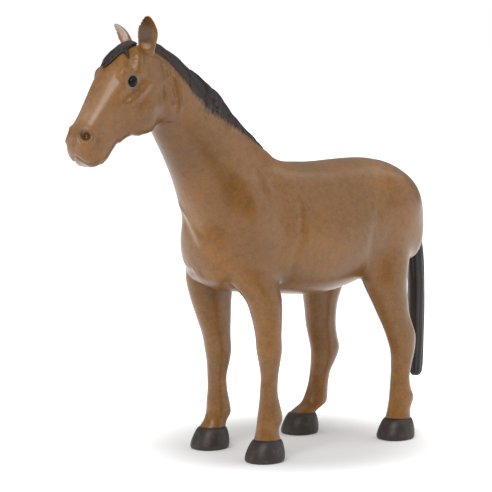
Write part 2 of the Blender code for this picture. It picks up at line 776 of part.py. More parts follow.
def body_half(name, hand):
    """One moulded half: shell, ear, two legs with ankle pegs, bosses, and pins or their sockets."""
    half = bpy.data.objects.new(name, skin.data.copy())
    parts.objects.link(half)
    reach = Vector((TRUNK_LENGTH * 2, 0, WITHERS_HEIGHT * 2))
    seam = Vector((0, hand * GAP / 2, 0))
    far = Vector((0, hand * TRUNK_WIDTH, 0))
    low = Vector((-reach.x, min(seam.y, far.y), -reach.z))
    high = Vector((reach.x, max(seam.y, far.y), reach.z))
    boolean(half, ear("ear" + name, hand, cutters), "UNION")
    boolean(half, hollow, "DIFFERENCE")
    for index, (place, depth) in enumerate(pins()):
        end = place + Vector((0, hand * depth, 0))
        boss = cylinder(f"boss{index}{name}", place, end, BOSS_RADIUS, cutters)
        boolean(half, boss, "UNION")
    boolean(half, block("half" + name, low, high, cutters), "INTERSECT")
    inner = dock() - Vector((TAIL_PEG_LENGTH + GAP, 0, 0))
    for seat in (
        loft("mane_seat" + name, mane_sections(GAP), cutters, SLIM_RING_SIDES),
        loft("forelock_seat" + name, forelock_sections(GAP), cutters, SLIM_RING_SIDES),
        eye("eye_socket" + name, hand, cutters, GAP),
        loft("tail_seat" + name, tail_sections(GAP), cutters, SLIM_RING_SIDES),
        cylinder("tail_socket" + name, inner, dock(), TAIL_PEG_RADIUS + GAP, cutters),
    ):
        boolean(half, seat, "DIFFERENCE")
    for leg, rows, height, x, side, thickness in legs():
        if side != hand:
            continue
        top = ankle(rows, height, x, side)
        reach_out = Vector((HOOF_LENGTH, HOOF_WIDTH, 0)) * TRIM_REACH_share
        under = top - reach_out - Vector((0, 0, HOOF_HEIGHT * 2))
        boolean(half, block("trim_" + leg, under, top + reach_out, cutters), "DIFFERENCE")
        start = top + Vector((0, 0, ANKLE_PEG_ROOT))
        end = top - Vector((0, 0, ANKLE_PEG_LENGTH))
        boolean(half, cylinder("peg_" + leg, start, end, ANKLE_PEG_RADIUS, cutters), "UNION")
    for index, (place, depth) in enumerate(pins()):
        if hand < 0:
            root = place + Vector((0, hand * (PIN_RADIUS + GAP), 0))
            pin = cylinder(f"pin{index}", root, place + Vector((0, PIN_REACH, 0)), PIN_RADIUS, cutters)
            boolean(half, pin, "UNION")
        else:
            bore = cylinder(f"bore{index}", place - Vector((0, OVERRUN, 0)),
                            place + Vector((0, PIN_REACH + GAP, 0)), PIN_RADIUS + GAP, cutters)
            boolean(half, bore, "DIFFERENCE")
    dress(half, brown)


def tail():
    """The tail with the peg that holds it in the dock."""
    hair = loft("tail", tail_sections(), parts, SLIM_RING_SIDES)
    peg = cylinder("tail_peg", dock(), dock() - Vector((TAIL_PEG_LENGTH, 0, 0)), TAIL_PEG_RADIUS, cutters)
    boolean(hair, peg, "UNION")
    dress(hair, charcoal)


clear_scene()
parts = collection("toy_horse")
cutters = collection("cutters", shown=False)
brown = material("brown_plastic", BROWN, BROWN_ROUGHNESS)
charcoal = material("charcoal_plastic", CHARCOAL, CHARCOAL_ROUGHNESS)
black = material("eye_gloss", BLACK, EYE_ROUGHNESS)

skin = outer_skin()
hollow = hollow_core()
for name, hand in (("body_left", -1), ("body_right", 1)):
    body_half(name, hand)

mane = loft("mane", mane_sections(), parts, SLIM_RING_SIDES)
dress(mane, charcoal)
forelock = loft("forelock", forelock_sections(), parts, SLIM_RING_SIDES)
dress(forelock, charcoal)
tail()
for leg, rows, height, x, hand, thickness in legs():
    hoof("hoof_" + leg, rows, height, x, hand)
for name, hand in (("eye_left", -1), ("eye_right", 1)):
    dress(eye(name, hand, parts), black)
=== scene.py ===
"""Looks of a moulded toy farm horse: brown skin in two halves, charcoal hair and hooves, glossy eyes.

Metres, +Z up. The horse faces -X, its left side is -Y, and it stands on Z = 0.
"""
from math import cos, pi, radians, sin

import bmesh
import bpy
import numpy as np
from mathutils import Euler, Matrix, Vector
from mathutils.bvhtree import BVHTree
from mathutils.kdtree import KDTree

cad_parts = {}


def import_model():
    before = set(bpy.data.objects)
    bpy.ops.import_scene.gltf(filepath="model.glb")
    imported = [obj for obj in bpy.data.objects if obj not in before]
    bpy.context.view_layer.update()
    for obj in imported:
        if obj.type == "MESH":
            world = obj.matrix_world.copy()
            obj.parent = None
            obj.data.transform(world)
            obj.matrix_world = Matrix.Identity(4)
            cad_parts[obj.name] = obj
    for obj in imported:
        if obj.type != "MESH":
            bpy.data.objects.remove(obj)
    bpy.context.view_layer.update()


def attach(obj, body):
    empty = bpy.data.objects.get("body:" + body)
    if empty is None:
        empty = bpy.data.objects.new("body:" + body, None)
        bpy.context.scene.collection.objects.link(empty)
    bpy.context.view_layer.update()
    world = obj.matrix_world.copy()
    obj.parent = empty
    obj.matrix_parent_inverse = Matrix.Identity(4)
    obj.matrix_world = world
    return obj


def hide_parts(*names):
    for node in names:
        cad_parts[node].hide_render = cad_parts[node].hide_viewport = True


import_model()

MM = 0.001

# Camera, as the figure was photographed
AZIMUTH = radians(-40.2)
ELEVATION = radians(6.1)
AIM = Vector((-6.5, 0, 72.4)) * MM
DISTANCE = 720 * MM
LENS = 152.8
SENSOR_WIDTH = 36
CLIP_START = 0.05

# Sizes of the figure, as in the frame
CHEST_X = -30.9 * MM
TRUNK_LENGTH = 103.2 * MM
WITHERS_HEIGHT = 101.2 * MM
TRUNK_DEPTH = 47.8 * MM
TRUNK_WIDTH = 37.2 * MM
NECK_ROOT = (0.183, 0.209)
NECK_LENGTH = 56 * MM
NECK_DEPTH = 30 * MM
NECK_WIDTH = 17 * MM
NECK_ANGLE = radians(134.3)
FACE_TOP = (1.273, -0.084)
FACE_ANGLE = radians(237.3)
HEAD_LENGTH = 42.4 * MM
HEAD_DEPTH = 26.5 * MM
HEAD_WIDTH = 17.6 * MM
JAW = (0.40, 0.60, 0.30)
JAW_RADIUS = 8.6 * MM
JAW_THICKNESS = 4.4 * MM
BROW = (0.275, 0.17, 0.37)
BROW_RADIUS = 3.2 * MM
EAR_PLACE = (-0.019, 0.299, 0.273)
EAR_HEIGHT = 11.9 * MM
EAR_WIDTH = 8 * MM
EAR_THICKNESS = 3.6 * MM
EAR_LEAN = radians(24)
EAR_SPREAD = (radians(12), radians(20))
EAR_TURN = (radians(30), radians(6))
RIGHT_EAR = 0.79
ELBOW_HEIGHT = 69.2 * MM
STIFLE_HEIGHT = 75.2 * MM
FORE_PLACE = 0.215
HIND_LEFT_PLACE = 0.823
HIND_RIGHT_PLACE = 0.7015
STANCE = 15 * MM
KNEE_THICKNESS = 9 * MM
HOCK_THICKNESS = 10.4 * MM
HOOF_HEIGHT = 7.4 * MM
HOOF_LENGTH = 13.8 * MM
HOOF_WIDTH = 12.8 * MM
TOE_REACH = 1.1 * MM
MANE_DEPTH = 15 * MM
TAIL_SET_BACK = 3.9 * MM
TAIL_DROP = 12.5 * MM
TAIL_END = 18 * MM
TAIL_LENGTH = 6.4 * MM
TAIL_WIDTH = 6.6 * MM
EYE_PLACE = (0.294, 0.239, 0.460)
EYE_RADII = Vector((1.6, 1.6, 2.15)) * MM
EYE_TILT = radians(30)
WALL = 2.2 * MM
NECK_WALL = 3.2 * MM
BOSS_RADIUS = 3.2 * MM
PIN_PLACES = ((0.16, 0.42), (0.50, 0.62), (0.76, 0.36))
NECK_PIN = (0.46, 0.10)
SEAM = 0.03 * MM

# Fineness of the melted skins: grain of the mesh, passes of smoothing
TORSO_MELT = (1.2 * MM, 36)
SKIN_MELT = (0.44 * MM, 12)
EAR_MELT = (0.24 * MM, 9)
FORELOCK_MELT = (0.28 * MM, 6)
TAIL_MELT = (0.28 * MM, 3)
HOLLOW_MELT = (1.6 * MM, 4)
SMOOTHING = 0.5
# Sides of the rings, and rings between two rows of a table
BODY_SIDES = 32
LEG_SIDES = 40
TAIL_SIDES = 48
FINE_SIDES = 64
LOCK_SIDES = 20
EYE_SIDES = 48
BODY_STEPS = 3
FINE_STEPS = 6
HOOF_STEPS = 5
TAIL_STEPS = 8
CREST_STEPS = 12
PATH_STEPS = 4

# trunk: along the length, top in withers heights, bottom in depths below them, width, narrowing
TRUNK = (
    (0, 0.79, 0.56, 0.18, 0),
    (0.015, 0.85, 0.74, 0.42, 0.02),
    (0.05, 0.905, 0.84, 0.6, 0.04),
    (0.11, 0.955, 0.905, 0.74, 0.06),
    (0.2, 0.99, 0.935, 0.85, 0.1),
    (0.3, 1.008, 0.958, 0.93, 0.16),
    (0.41, 0.999, 0.985, 0.98, 0.16),
    (0.53, 0.995, 1, 1, 0.12),
    (0.65, 0.999, 0.962, 0.97, 0.08),
    (0.75, 1, 0.9, 0.92, 0.05),
    (0.85, 0.985, 0.85, 0.86, 0.04),
    (0.925, 0.95, 0.8, 0.74, 0.03),
    (0.975, 0.9, 0.72, 0.54, 0.01),
    (1, 0.84, 0.62, 0.26, 0),
)
# neck: crest along and across, throat along and across, width
NECK = (
    (-0.222, -0.8, -0.145, 0.83, 1.5),
    (0.01, -0.64, 0.147, 0.63, 1.4),
    (0.326, -0.54, 0.318, 0.49, 1.18),
    (0.603, -0.485, 0.462, 0.412, 0.98),
    (0.83, -0.43, 0.59, 0.35, 0.9),
    (1.007, -0.37, 0.73, 0.31, 0.84),
    (1.144, -0.25, 1.02, 0.33, 0.78),
)
NECK_EGG = 0.30
# head: down the face, set back at the face, set back at the jaw, width
HEAD = (
    (-0.02, 0.2, 0.72, 0.62),
    (0.1, 0.06, 0.86, 0.86),
    (0.24, 0.005, 0.94, 0.98),
    (0.38, 0, 0.95, 0.99),
    (0.52, 0.005, 0.81, 0.86),
    (0.66, 0.01, 0.635, 0.72),
    (0.78, 0.01, 0.585, 0.72),
    (0.88, 0.035, 0.565, 0.73),
    (0.96, 0.125, 0.5, 0.64),
    (1, 0.25, 0.41, 0.44),
)
HEAD_EGG = -0.06
HEAD_SQUARE = 2.5
BODY_SQUARE = 2.15
# muscles: along the trunk, below the withers, aside, length, thickness and height, then tilt
MUSCLES = (
    (0.18, 0.44, 0.46, 0.12, 0.5, 0.42, radians(-24)),
    (0.08, 0.62, 0.32, 0.06, 0.34, 0.24, 0),
    (0.81, 0.42, 0.46, 0.15, 0.5, 0.34, radians(18)),
    (0.885, 0.52, 0.46, 0.085, 0.38, 0.3, radians(-14)),
)
# legs: height above the hoof, offset in x, length, width, sideways from the stance
FORE_LEFT = (
    (1, -0.08, 2.3, 1.2, 0.6),
    (0.877, -0.04, 2.05, 1.34, 0.68),
    (0.77, 0, 1.5, 1.24, 0.8),
    (0.669, 0.006, 1.22, 1.1, 0.88),
    (0.579, 0.004, 1.05, 0.97, 0.94),
    (0.495, 0.004, 1.01, 0.94, 0.97),
    (0.433, 0.004, 0.87, 0.83, 0.98),
    (0.355, 0.002, 0.7, 0.68, 0.99),
    (0.259, -0.004, 0.71, 0.67, 1),
    (0.181, 0.001, 0.88, 0.79, 1),
    (0.117, 0.003, 1.02, 0.9, 1),
    (0.052, -0.013, 0.92, 0.83, 1),
    (0, -0.014, 1.06, 1, 1),
)
FORE_RIGHT = (
    (1, -0.09, 2.3, 1.2, 0.6),
    (0.877, -0.078, 2.2, 1.36, 0.68),
    (0.753, -0.052, 1.82, 1.28, 0.8),
    (0.63, -0.019, 1.45, 1.16, 0.88),
    (0.529, 0.008, 1.17, 1.05, 0.94),
    (0.439, 0.024, 1.08, 1.01, 0.97),
    (0.372, 0.026, 0.94, 0.88, 0.98),
    (0.293, 0.02, 0.79, 0.75, 0.99),
    (0.215, 0.024, 0.8, 0.77, 1),
    (0.142, 0.028, 0.95, 0.87, 1),
    (0.08, 0.03, 1.03, 0.93, 1),
    (0.033, 0.008, 0.96, 0.88, 1),
    (0, -0.01, 1.06, 1, 1),
)
HIND_LEFT = (
    (1, -0.05, 2.8, 1.44, 0.58),
    (0.878, -0.06, 2.32, 1.44, 0.66),
    (0.789, -0.07, 1.98, 1.38, 0.74),
    (0.711, -0.072, 1.68, 1.26, 0.81),
    (0.622, -0.056, 1.4, 1.1, 0.88),
    (0.55, -0.038, 1.24, 0.96, 0.92),
    (0.489, -0.016, 1.2, 0.88, 0.95),
    (0.433, 0.002, 1.16, 0.85, 0.97),
    (0.356, 0.01, 0.93, 0.77, 0.98),
    (0.278, 0, 0.75, 0.69, 0.99),
    (0.211, -0.008, 0.7, 0.66, 1),
    (0.151, -0.005, 0.8, 0.73, 1),
    (0.107, 0.002, 0.94, 0.8, 1),
    (0.047, -0.014, 0.86, 0.76, 1),
    (0, -0.02, 0.92, 0.87, 1),
)
HIND_RIGHT = (
    (1, 0.09, 2.9, 1.44, 0.58),
    (0.85, 0.044, 2.4, 1.44, 0.68),
    (0.744, 0, 1.8, 1.34, 0.78),
    (0.64, -0.014, 1.44, 1.18, 0.86),
    (0.564, -0.012, 1.26, 1.03, 0.9),
    (0.474, -0.003, 1.18, 0.93, 0.94),
    (0.4, 0.014, 1.16, 0.87, 0.96),
    (0.333, 0.032, 1.16, 0.85, 0.98),
    (0.264, 0.02, 0.95, 0.78, 0.99),
    (0.211, 0.004, 0.78, 0.69, 1),
    (0.144, -0.009, 0.76, 0.68, 1),
    (0.084, -0.022, 0.88, 0.75, 1),
    (0.047, -0.036, 0.96, 0.81, 1),
    (0.022, -0.076, 0.94, 0.82, 1),
    (0, -0.113, 0.9, 0.87, 1),
)
# tail: height between its end and its top, forward of the line of the tail, length, width
TAIL = (
    (0, 0, 0.3, 0.3),
    (0.012, 0, 0.62, 0.62),
    (0.05, 0, 0.86, 0.84),
    (0.18, 0, 0.96, 0.94),
    (0.4, 0, 1.04, 1),
    (0.6, 0.05, 0.98, 1),
    (0.72, 0.16, 0.9, 0.92),
    (0.83, 0.34, 0.84, 0.84),
    (0.92, 0.6, 0.86, 0.8),
    (0.98, 0.95, 0.86, 0.76),
)
# ear: up the height, width, thickness, how far the front is drawn into the hollow
EAR = (
    (-0.16, 0.66, 1.1, -1),
    (0.02, 0.7, 1.12, -0.8),
    (0.11, 0.75, 1.14, -0.35),
    (0.2, 0.8, 1.16, 0.1),
    (0.31, 0.86, 1.18, 0.4),
    (0.41, 0.91, 1.18, 0.58),
    (0.53, 0.91, 1.14, 0.68),
    (0.66, 0.82, 1.02, 0.72),
    (0.8, 0.62, 0.84, 0.66),
    (0.9, 0.42, 0.64, 0.46),
    (0.97, 0.26, 0.44, 0),
    (1, 0.12, 0.26, -0.5),
)

# The flat band from beside the eye down to the nostril
NOSE_BAND = ((-63.4, -6, 134.4), (-67.9, -4.9, 128.8), (-70.8, -4.3, 124.4), (-74.1, -3.5, 119.4),
             (-76.7, -3.4, 115.6))
# Carving in millimetres on the horse's left, repeated on its right: path, half width, height
STROKES = (
    # above the eye
    (((-56.6, -5.6, 140.8), (-57.4, -6.8, 138.4), (-58, -7.8, 136), (-58.8, -8.6, 133.6),
      (-59.2, -9, 131)), 1.7, 1),
    (((-58.8, -2.8, 142.4), (-60.2, -4.9, 139.8), (-61.3, -6.4, 137.1), (-62.2, -7.3, 134.2)), 1.6, -0.6),
    # cheek and nose
    (((-54, -8.6, 130.6), (-56.4, -9.1, 128.4), (-59, -9.4, 125.9), (-61.8, -8.8, 123.6),
      (-64, -7.9, 121.6)), 1.3, 1),
    (((-58.2, -8.9, 130), (-60.4, -8.9, 128), (-63.2, -8.4, 125.6), (-65.6, -7.6, 123.4)), 1.1, -0.35),
    (((-62.2, -8.7, 127.4), (-60.9, -9.1, 127.2), (-59.6, -9.5, 127.8), (-58.4, -9.8, 128.8),
      (-57.4, -9.9, 130)), 0.8, -0.3),
    (NOSE_BAND, 4.6, 0.7),
    (NOSE_BAND, 3.0, -0.75),
    (((-60, 0, 140.5), (-63, 0, 137), (-66, 0, 133.2), (-69.5, 0, 128.2), (-73, 0, 122.7),
      (-77, 0, 115.7)), 2.6, -0.5),
    # withers
    (((-20, 0, 111), (-12, 0, 106), (-4, 0, 103.4), (4, 0, 102)), 3.6, 0.7),
    # jaw and throat
    (((-64.6, -3, 111), (-60.5, -3.4, 113.2), (-56.6, -3.4, 115.6)), 3, 0.7),
    (((-48.6, -8, 126.4), (-46.8, -7.2, 125), (-46, -7.2, 121.8), (-45.4, -6.9, 118.6),
      (-45.4, -5.8, 115.4)), 2.8, 0.7),
    (((-46.2, -4.7, 135.9), (-44.8, -5.2, 133.5), (-43.8, -5.9, 130.7)), 0.9, 0.5),
    (((-42, -5.7, 132.1), (-41.1, -5.7, 128.9), (-41.3, -7, 124.3), (-41.3, -7.5, 118.6)), 0.8, 0.6),
    (((-43, -5.6, 132.8), (-42.3, -6, 128.9), (-42.5, -7.1, 124.3)), 1, -0.25),
    (((-44.9, -6.8, 127.5), (-43.8, -7.3, 124), (-43.7, -7.6, 121)), 0.9, 0.35),
    # lips and chin
    (((-78.9, 0, 106.6), (-78, -1.5, 105.6), (-76.4, -3.2, 104.6), (-74, -4.6, 104.6),
      (-71.6, -5.4, 106)), 0.42, -0.38),
    (((-78.6, 0, 108.1), (-77.4, -2, 107.2), (-75.2, -4, 106.6)), 0.9, 0.12),
    (((-76.9, 0, 103.6), (-75.4, -2.4, 103), (-73.2, -3.9, 103.2)), 0.8, 0.15),
    (((-71.4, 0, 103.1), (-71.2, -3, 103.5), (-70.2, -5, 105)), 0.9, -0.5),
    # breast, elbow, flank, shoulder and shoulder blade
    (((-28.4, -1, 64.2), (-27.2, -6, 64.8), (-24.6, -10.6, 67.6)), 1.6, -0.5),
    (((2.6, -17.6, 74.8), (0.9, -16.7, 67.8), (2.1, -11.2, 58.3)), 1.6, -0.35),
    (((40.6, -16.7, 86.2), (39.2, -17.6, 78.1), (37, -17.5, 71.2), (36.9, -15.9, 63.2)), 2.6, -0.35),
    (((-20.9, -10.8, 101.8), (-19, -13, 95.4), (-16.6, -15.6, 87.2), (-18, -16.4, 78.2)), 3.2, 0.3),
    (((4.6, -14.6, 90), (4.8, -15.8, 86.3), (3.9, -17.2, 80.3), (4.4, -17.8, 72.5)), 1.3, -0.3),
)
# The line of the breast, which crosses from one side to the other
BREAST_LINE = (
    (((-31.6, 6.6, 90), (-30.9, 4.2, 86.7), (-31.2, 1.1, 83.2), (-30.9, -1.2, 79.9), (-30.4, -3.3, 77),
      (-29.2, -5.4, 73)), 1.3, 0.5),
    (((-31.6, 7.8, 88), (-30.6, 5.6, 84.7), (-31, 2.7, 81.2), (-30.8, 0.4, 77.9), (-30.2, -1.7, 75),
      (-29.2, -3.6, 71.4)), 1.8, -0.3),
)
# Dents and swellings on the left, repeated on the right: place, radius, height
SPOTS = (
    ((-52.6, -9, 122.8), 5.0, 0.35),
    ((-64.8, -7.4, 124.8), 2.2, -0.3),
    ((-71.4, -5.6, 113.8), 3.2, -0.3),
    ((-80.2, 0, 110.8), 3.0, -0.6),
    ((-56, -5.8, 143), 3.2, 1.1),
    ((-46.6, -7.4, 118.6), 3.6, 0.4),
    ((-10, -12.2, 96.6), 3.6, 0.5),
    ((-24.8, -10.4, 73.2), 5.0, 0.4),
    ((60, -15, 85.2), 9.0, 0.4),
)
# Where the coat is sprayed darker, which is partly painted shade under the head, down the neck and on the
# shoulder: place, radius, share
DARKER_AND_SHADE = (
    ((-43, -5.5, 103), 11, 0.6),
    ((-46, -7.5, 118), 8, 0.34),
    ((-34, -9, 110), 7, 0.14),
    ((-26, -11.7, 91), 9, 0.4),
    ((-17, -15, 74), 8, 0.28),
)
# Where the coat is paler, which is partly a painted highlight on forehead, nose, breast and rump: place,
# radius, share
PALER_AND_HIGHLIGHT = (
    ((-67, -4.5, 131), 5, 0.16),
    ((-71, -4.4, 124.5), 5, 0.16),
    ((-75.4, -4, 118), 5, 0.18),
    ((-75, -1.6, 121), 4.5, 0.22),
    ((-31.5, 0, 82), 7, 0.26),
    ((50, -9, 101), 8, 0.14),
)
# How many of a stroke's fades fit along it, the width in millimetres below which a groove gets painted
# shade, and how dark that shade is
STROKE_FADE = 5
CREASE_WIDTH = 1
CREASE_SHADE = 0.7

# Lids and nostrils in millimetres: stretch along and up the skin, then the radius, width and height
# of the rim and the radius and depth of the hollow inside it; the fold above the eye has no hollow
LID_STRETCH = (0.95, 1.05)
LID = (2.0, 0.55, 0.55, 1.2, 0.9)
LID_FOLD = (3.5, 0.6, 0.15)
FOLD_START = 2
NOSTRIL_PLACE = np.array((-77.2, -4.7, 113))
NOSTRIL_STRETCH = (1.1, 1.2)
NOSTRIL = (2.0, 0.6, 0.6, 1.05, 1.5)
# Nothing of a lid or nostril lies further out of its own skin than this; what does is put far away
SKIN_REACH = 4
FAR_AWAY = 99
# Paint of the lids: radius, width, share; then the radius of the painted shade inside the nostrils
LID_PAINT = (2.0, 0.7, 0.8)
LASH_PAINT = (1.8, 0.35, 0.9)
NOSTRIL_SHADE = 1.3
# Painted shade inside the left ear and painted light inside the right, in millimetres: its foot, and how far
# across, ahead and to each ear's rim it goes
EAR_PAINT_FOOT = 1.5
EAR_PAINT_ACROSS = 5
EAR_PAINT_AHEAD = -2.4
EAR_PAINT_RIMS = (3.2, 2.6)
# Overspray: reach in millimetres and share by the mane, reach above the hooves
SOOT = (1.0, 0.8)
HOOF_SOOT = 0.8

# Where a limb runs into the trunk and the skin is eased: place, radius
EASED = (
    ((-20, -13, 71), 10),
    ((-14, -15, 69), 12),
    ((-7.6, -15, 64.5), 9),
    ((57, -15.5, 73), 15),
    ((47, -16.5, 71), 15),
    ((41, -15, 64.5), 9),
    ((-47.4, -6.8, 119), 7),
    ((-46.6, -3, 114.6), 6),
)
EASING_EDGE = 1.6
EASING_COUNT = 420

# hoof: height, length, width, how far its middle is set towards the toe
HOOF = (
    (0, 0.88, 0.88, 1.1),
    (0.03, 0.95, 0.95, 1.1),
    (0.11, 1, 1, 1.06),
    (0.3, 1, 0.99, 0.86),
    (0.55, 0.94, 0.93, 0.55),
    (0.8, 0.84, 0.84, 0.26),
    (0.94, 0.755, 0.76, 0.08),
    (1, 0.69, 0.69, 0),
)
# Its growth rings: depth, pace
GROWTH = (0.002, 34)
# mane: share of the crest from the withers, reach down each side in degrees, rise in millimetres
MANE_EDGE = (
    (0.19, 14, 0.15),
    (0.24, 26, 0.55),
    (0.287, 32, 0.8),
    (0.34, 37, 1.2),
    (0.4, 41, 2.2),
    (0.46, 45, 3),
    (0.52, 51, 3.8),
    (0.56, 60, 4.1),
    (0.601, 65, 4.1),
    (0.658, 60, 3.5),
    (0.724, 56, 3.1),
    (0.785, 51, 3),
    (0.843, 42, 3),
    (0.878, 34, 2.9),
    (0.909, 25, 2.8),
    (0.94, 18, 2.5),
    (0.975, 11, 1.6),
)
MANE_STEPS = 230
MANE_STRIPS = 96
MANE_THICKNESS = 1.6 * MM
# The mane's hair in millimetres: the crest it lies on, its slant, the sway of its flow, its bulk, how
# wide its crest is in radians, and its locks, each a height, a pitch and a start
CREST_LENGTH = 78.8
CREST_RADIUS = 8.6
HAIR_SLANT = 2.9
HAIR_SWAY = (0.8, 0.17, 0.3)
HAIR_BULK = 0.9
CREST_SPREAD = 0.34
SIDE_START = 0.3
LOCKS = ((0.8, 11.3, 0.1), (0.36, 5.1, 0.6), (0.2, 2.3, 0.3))
LOCK_MEAN = 0.7
LOCK_RISE = 0.14
FULL_RISE = 2.5
# The tips along its edge: pitch, start, shift from side to side, then shortest reach and how much they add
TIPS = (5.3, 0.2, 0.45)
TIP_REACH = (0.94, 0.14)
FLOW_SHARE = 0.6
# Strands of all hair: pitch in millimetres, share, start; how deep they are combed and how grey their backs
# are painted, partly as a painted sheen
STRANDS = ((1.9, 0.9, 0.3), (1.23, 0.7, 1.7), (0.83, 0.5, 4.1))
STRAND_MEAN = 0.7
STRAND_DEPTH = 0.16
TAIL_STRAND_DEPTH = 0.14
STRAND_GREY = 0.55
GREY_BASE = 0.1
# forelock in millimetres: path of each lock, width, thickness
FORELOCK = (
    (((-53, -0.4, 144.2), (-57, -0.8, 143.2), (-60.6, -0.8, 140.2), (-64, 0.2, 136.8),
      (-66.6, 1.2, 133.4)), 4.6, 1.8),
    (((-53, 1.6, 144.2), (-57, 2, 143.2), (-60.8, 2.4, 140.4), (-64.2, 2.8, 136.8),
      (-66, 3, 134.2)), 4.4, 1.8),
    (((-54, -0.2, 143.8), (-57.6, -0.6, 142.6), (-59.4, -1.9, 140.9), (-60.2, -3.9, 138.9),
      (-60.2, -6, 136.8)), 2.8, 1.4),
    (((-53, 2.4, 143.2), (-56.4, 3.6, 142.4), (-59.2, 4.8, 139.6)), 3.2, 1.6),
    (((-53, 0.4, 144.2), (-58.4, 0.6, 142.8), (-62.6, 1, 138.8)), 5, 2.2),
)
FORELOCK_PARTING = 0.4
FORELOCK_SLANT = 0.35
FORELOCK_SEAT = 0.25
# The tail's locks: how many turn half round it, their start, depth and how far the core draws in, in
# millimetres; then their twist, each a share, a pace and a start
TAIL_LOCKS = (3.5, 0.6, 0.34, 0.4)
TAIL_TWIST = ((0.12, 0.11, 0), (0.05, 0.31, 1))
TAIL_FLOW = 1.6
TAIL_SQUARE = 2.3

FLOOR_REACH = 6.0
FLOOR_COLOUR = (0.80, 0.80, 0.80, 1)
FLOOR_GLOW = 0.14
FLOOR_MIDDLE = Vector((16, 2, 0)) * MM
FLOOR_NEAR = 28 * MM
FLOOR_FAR = 86 * MM
WORLD_LIGHT = 0.40
WORLD_MIRRORED = 0.34
# lamps: name, place, size, power
LAMPS = (
    ("key", (-0.80, -0.45, 0.92), 0.58, 6),
    ("top", (0.25, 0.05, 1.25), 1.8, 3.2),
    ("side", (1.00, -0.80, 0.45), 1.2, 3.6),
    ("back", (0.95, -0.10, 1.00), 0.4, 0.6),
    ("edge", (-0.90, 0.62, 0.20), 0.5, 1.0),
)

COAT_BROWN = (0.185, 0.076, 0.007, 1)
COAT_DEEP = (0.075, 0.026, 0.008, 1)
COAT_WARM = (0.350, 0.136, 0.012, 1)
COAT_PALE = (0.680, 0.480, 0.340, 1)
SOOT_BROWN = (0.050, 0.030, 0.022, 1)
HAIR_DARK = (0.016, 0.011, 0.010, 1)
HAIR_GREY = (0.120, 0.082, 0.070, 1)
HORN_DARK = (0.030, 0.021, 0.018, 1)
HORN_BROWN = (0.080, 0.048, 0.034, 1)
EYE_BLACK = (0.004, 0.004, 0.004, 1)
LID_GREY = (0.220, 0.150, 0.125, 1)
# Varnish of each finish: its weight and roughness, and how the paint below it shines
COAT_GLOSS = (0.8, 0.3, 0.2)
HAIR_GLOSS = (0.4, 0.3, 0.2)
HORN_GLOSS = (0.1, 0.3, 0.5)
EYE_SHINE = (0.06, 0.1, 0.12)
# Sizes in metres of the marks in a finish, from large to small, and how deep its grit is
COAT_MARKS = (22 * MM, 2.2 * MM, 0.8 * MM, 0.3 * MM)
HAIR_MARKS = (4 * MM, 0.6 * MM)
HORN_MARKS = (3 * MM, 0.5 * MM)
EYE_MARKS = 1.4 * MM
COAT_GRIT = 0.05 * MM
DARK_GRIT = 0.06 * MM


def keep(name, data):
    """Puts a mesh, lamp or camera in the scene under a name."""
    data.name = name
    thing = bpy.data.objects.new(name, data)
    bpy.context.scene.collection.objects.link(thing)
    return thing


def from_bmesh(name, bm):
    """Closes a bmesh into an object with its faces outwards."""
    bmesh.ops.recalc_face_normals(bm, faces=bm.faces)
    mesh = bpy.data.meshes.new(name)
    bm.to_mesh(mesh)
    bm.free()
    return keep(name, mesh)


def settle(thing):
    """Applies the modifiers of an object."""
    shaped = thing.evaluated_get(bpy.context.evaluated_depsgraph_get())
    mesh = bpy.data.meshes.new_from_object(shaped)
    thing.modifiers.clear()
    thing.data = mesh
    return thing


def smooth_rows(rows, steps):
    """The rows of a table with more between them, on a smooth curve through the given ones."""
    table = np.array(rows, dtype=float)
    padded = np.vstack((table[:1], table, table[-1:]))
    smooth = []
    for index in range(len(table) - 1):
        a, b, c, d = padded[index:index + 4]
        for step in range(steps):
            t = step / steps
            bend = 2 * a - 5 * b + 4 * c - d + t * (3 * b - a - 3 * c + d)
            smooth.append(b + t * (c - a + t * bend) / 2)
    smooth.append(table[-1])
    return smooth


def ring(middle, up, side, square=2.0, egg=0.0, hollow=-1.0):
    """A ring of a loft: half axes, squareness, narrowing upwards, how far its lower side is drawn in."""
    return middle, up, side, square, egg, hollow


def loft(name, rings, sides):
    """A closed skin through rings, each a circle reshaped and bridged to the next."""
    bm = bmesh.new()
    loops = []
    for index, (middle, up, side, square, egg, hollow) in enumerate(rings):
        capped = index in (0, len(rings) - 1)
        made = bmesh.ops.create_circle(bm, cap_ends=capped, segments=sides, radius=1)["verts"]
        loops.append(list({edge for vert in made for edge in vert.link_edges}))
        for vert in made:
            across = abs(vert.co.x) ** (2 / square) * (1 if vert.co.x > 0 else -1)
            along = abs(vert.co.y) ** (2 / square) * (1 if vert.co.y > 0 else hollow)
            vert.co = middle + up * along + side * across * (1 - egg * along)
    for lower, upper in zip(loops, loops[1:]):
        bmesh.ops.bridge_loops(bm, edges=lower + upper)
    return from_bmesh(name, bm)


def ball(name, middle, radii, turn=None, segments=BODY_SIDES):
    """A ball or egg, turned where it leans."""
    bm = bmesh.new()
    bmesh.ops.create_uvsphere(bm, u_segments=segments, v_segments=segments // 2, radius=1)
    place = Matrix.Translation(middle)
    if turn is not None:
        place = place @ turn.to_4x4()
    bmesh.ops.transform(bm, matrix=place @ Matrix.Diagonal((*radii, 1)), verts=bm.verts)
    return from_bmesh(name, bm)


def block(name, low, high):
    """A box between two corners."""
    bm = bmesh.new()
    bmesh.ops.create_cube(bm, size=1)
    place = Matrix.Translation((low + high) / 2) @ Matrix.Diagonal((*(high - low), 1))
    bmesh.ops.transform(bm, matrix=place, verts=bm.verts)
    return from_bmesh(name, bm)


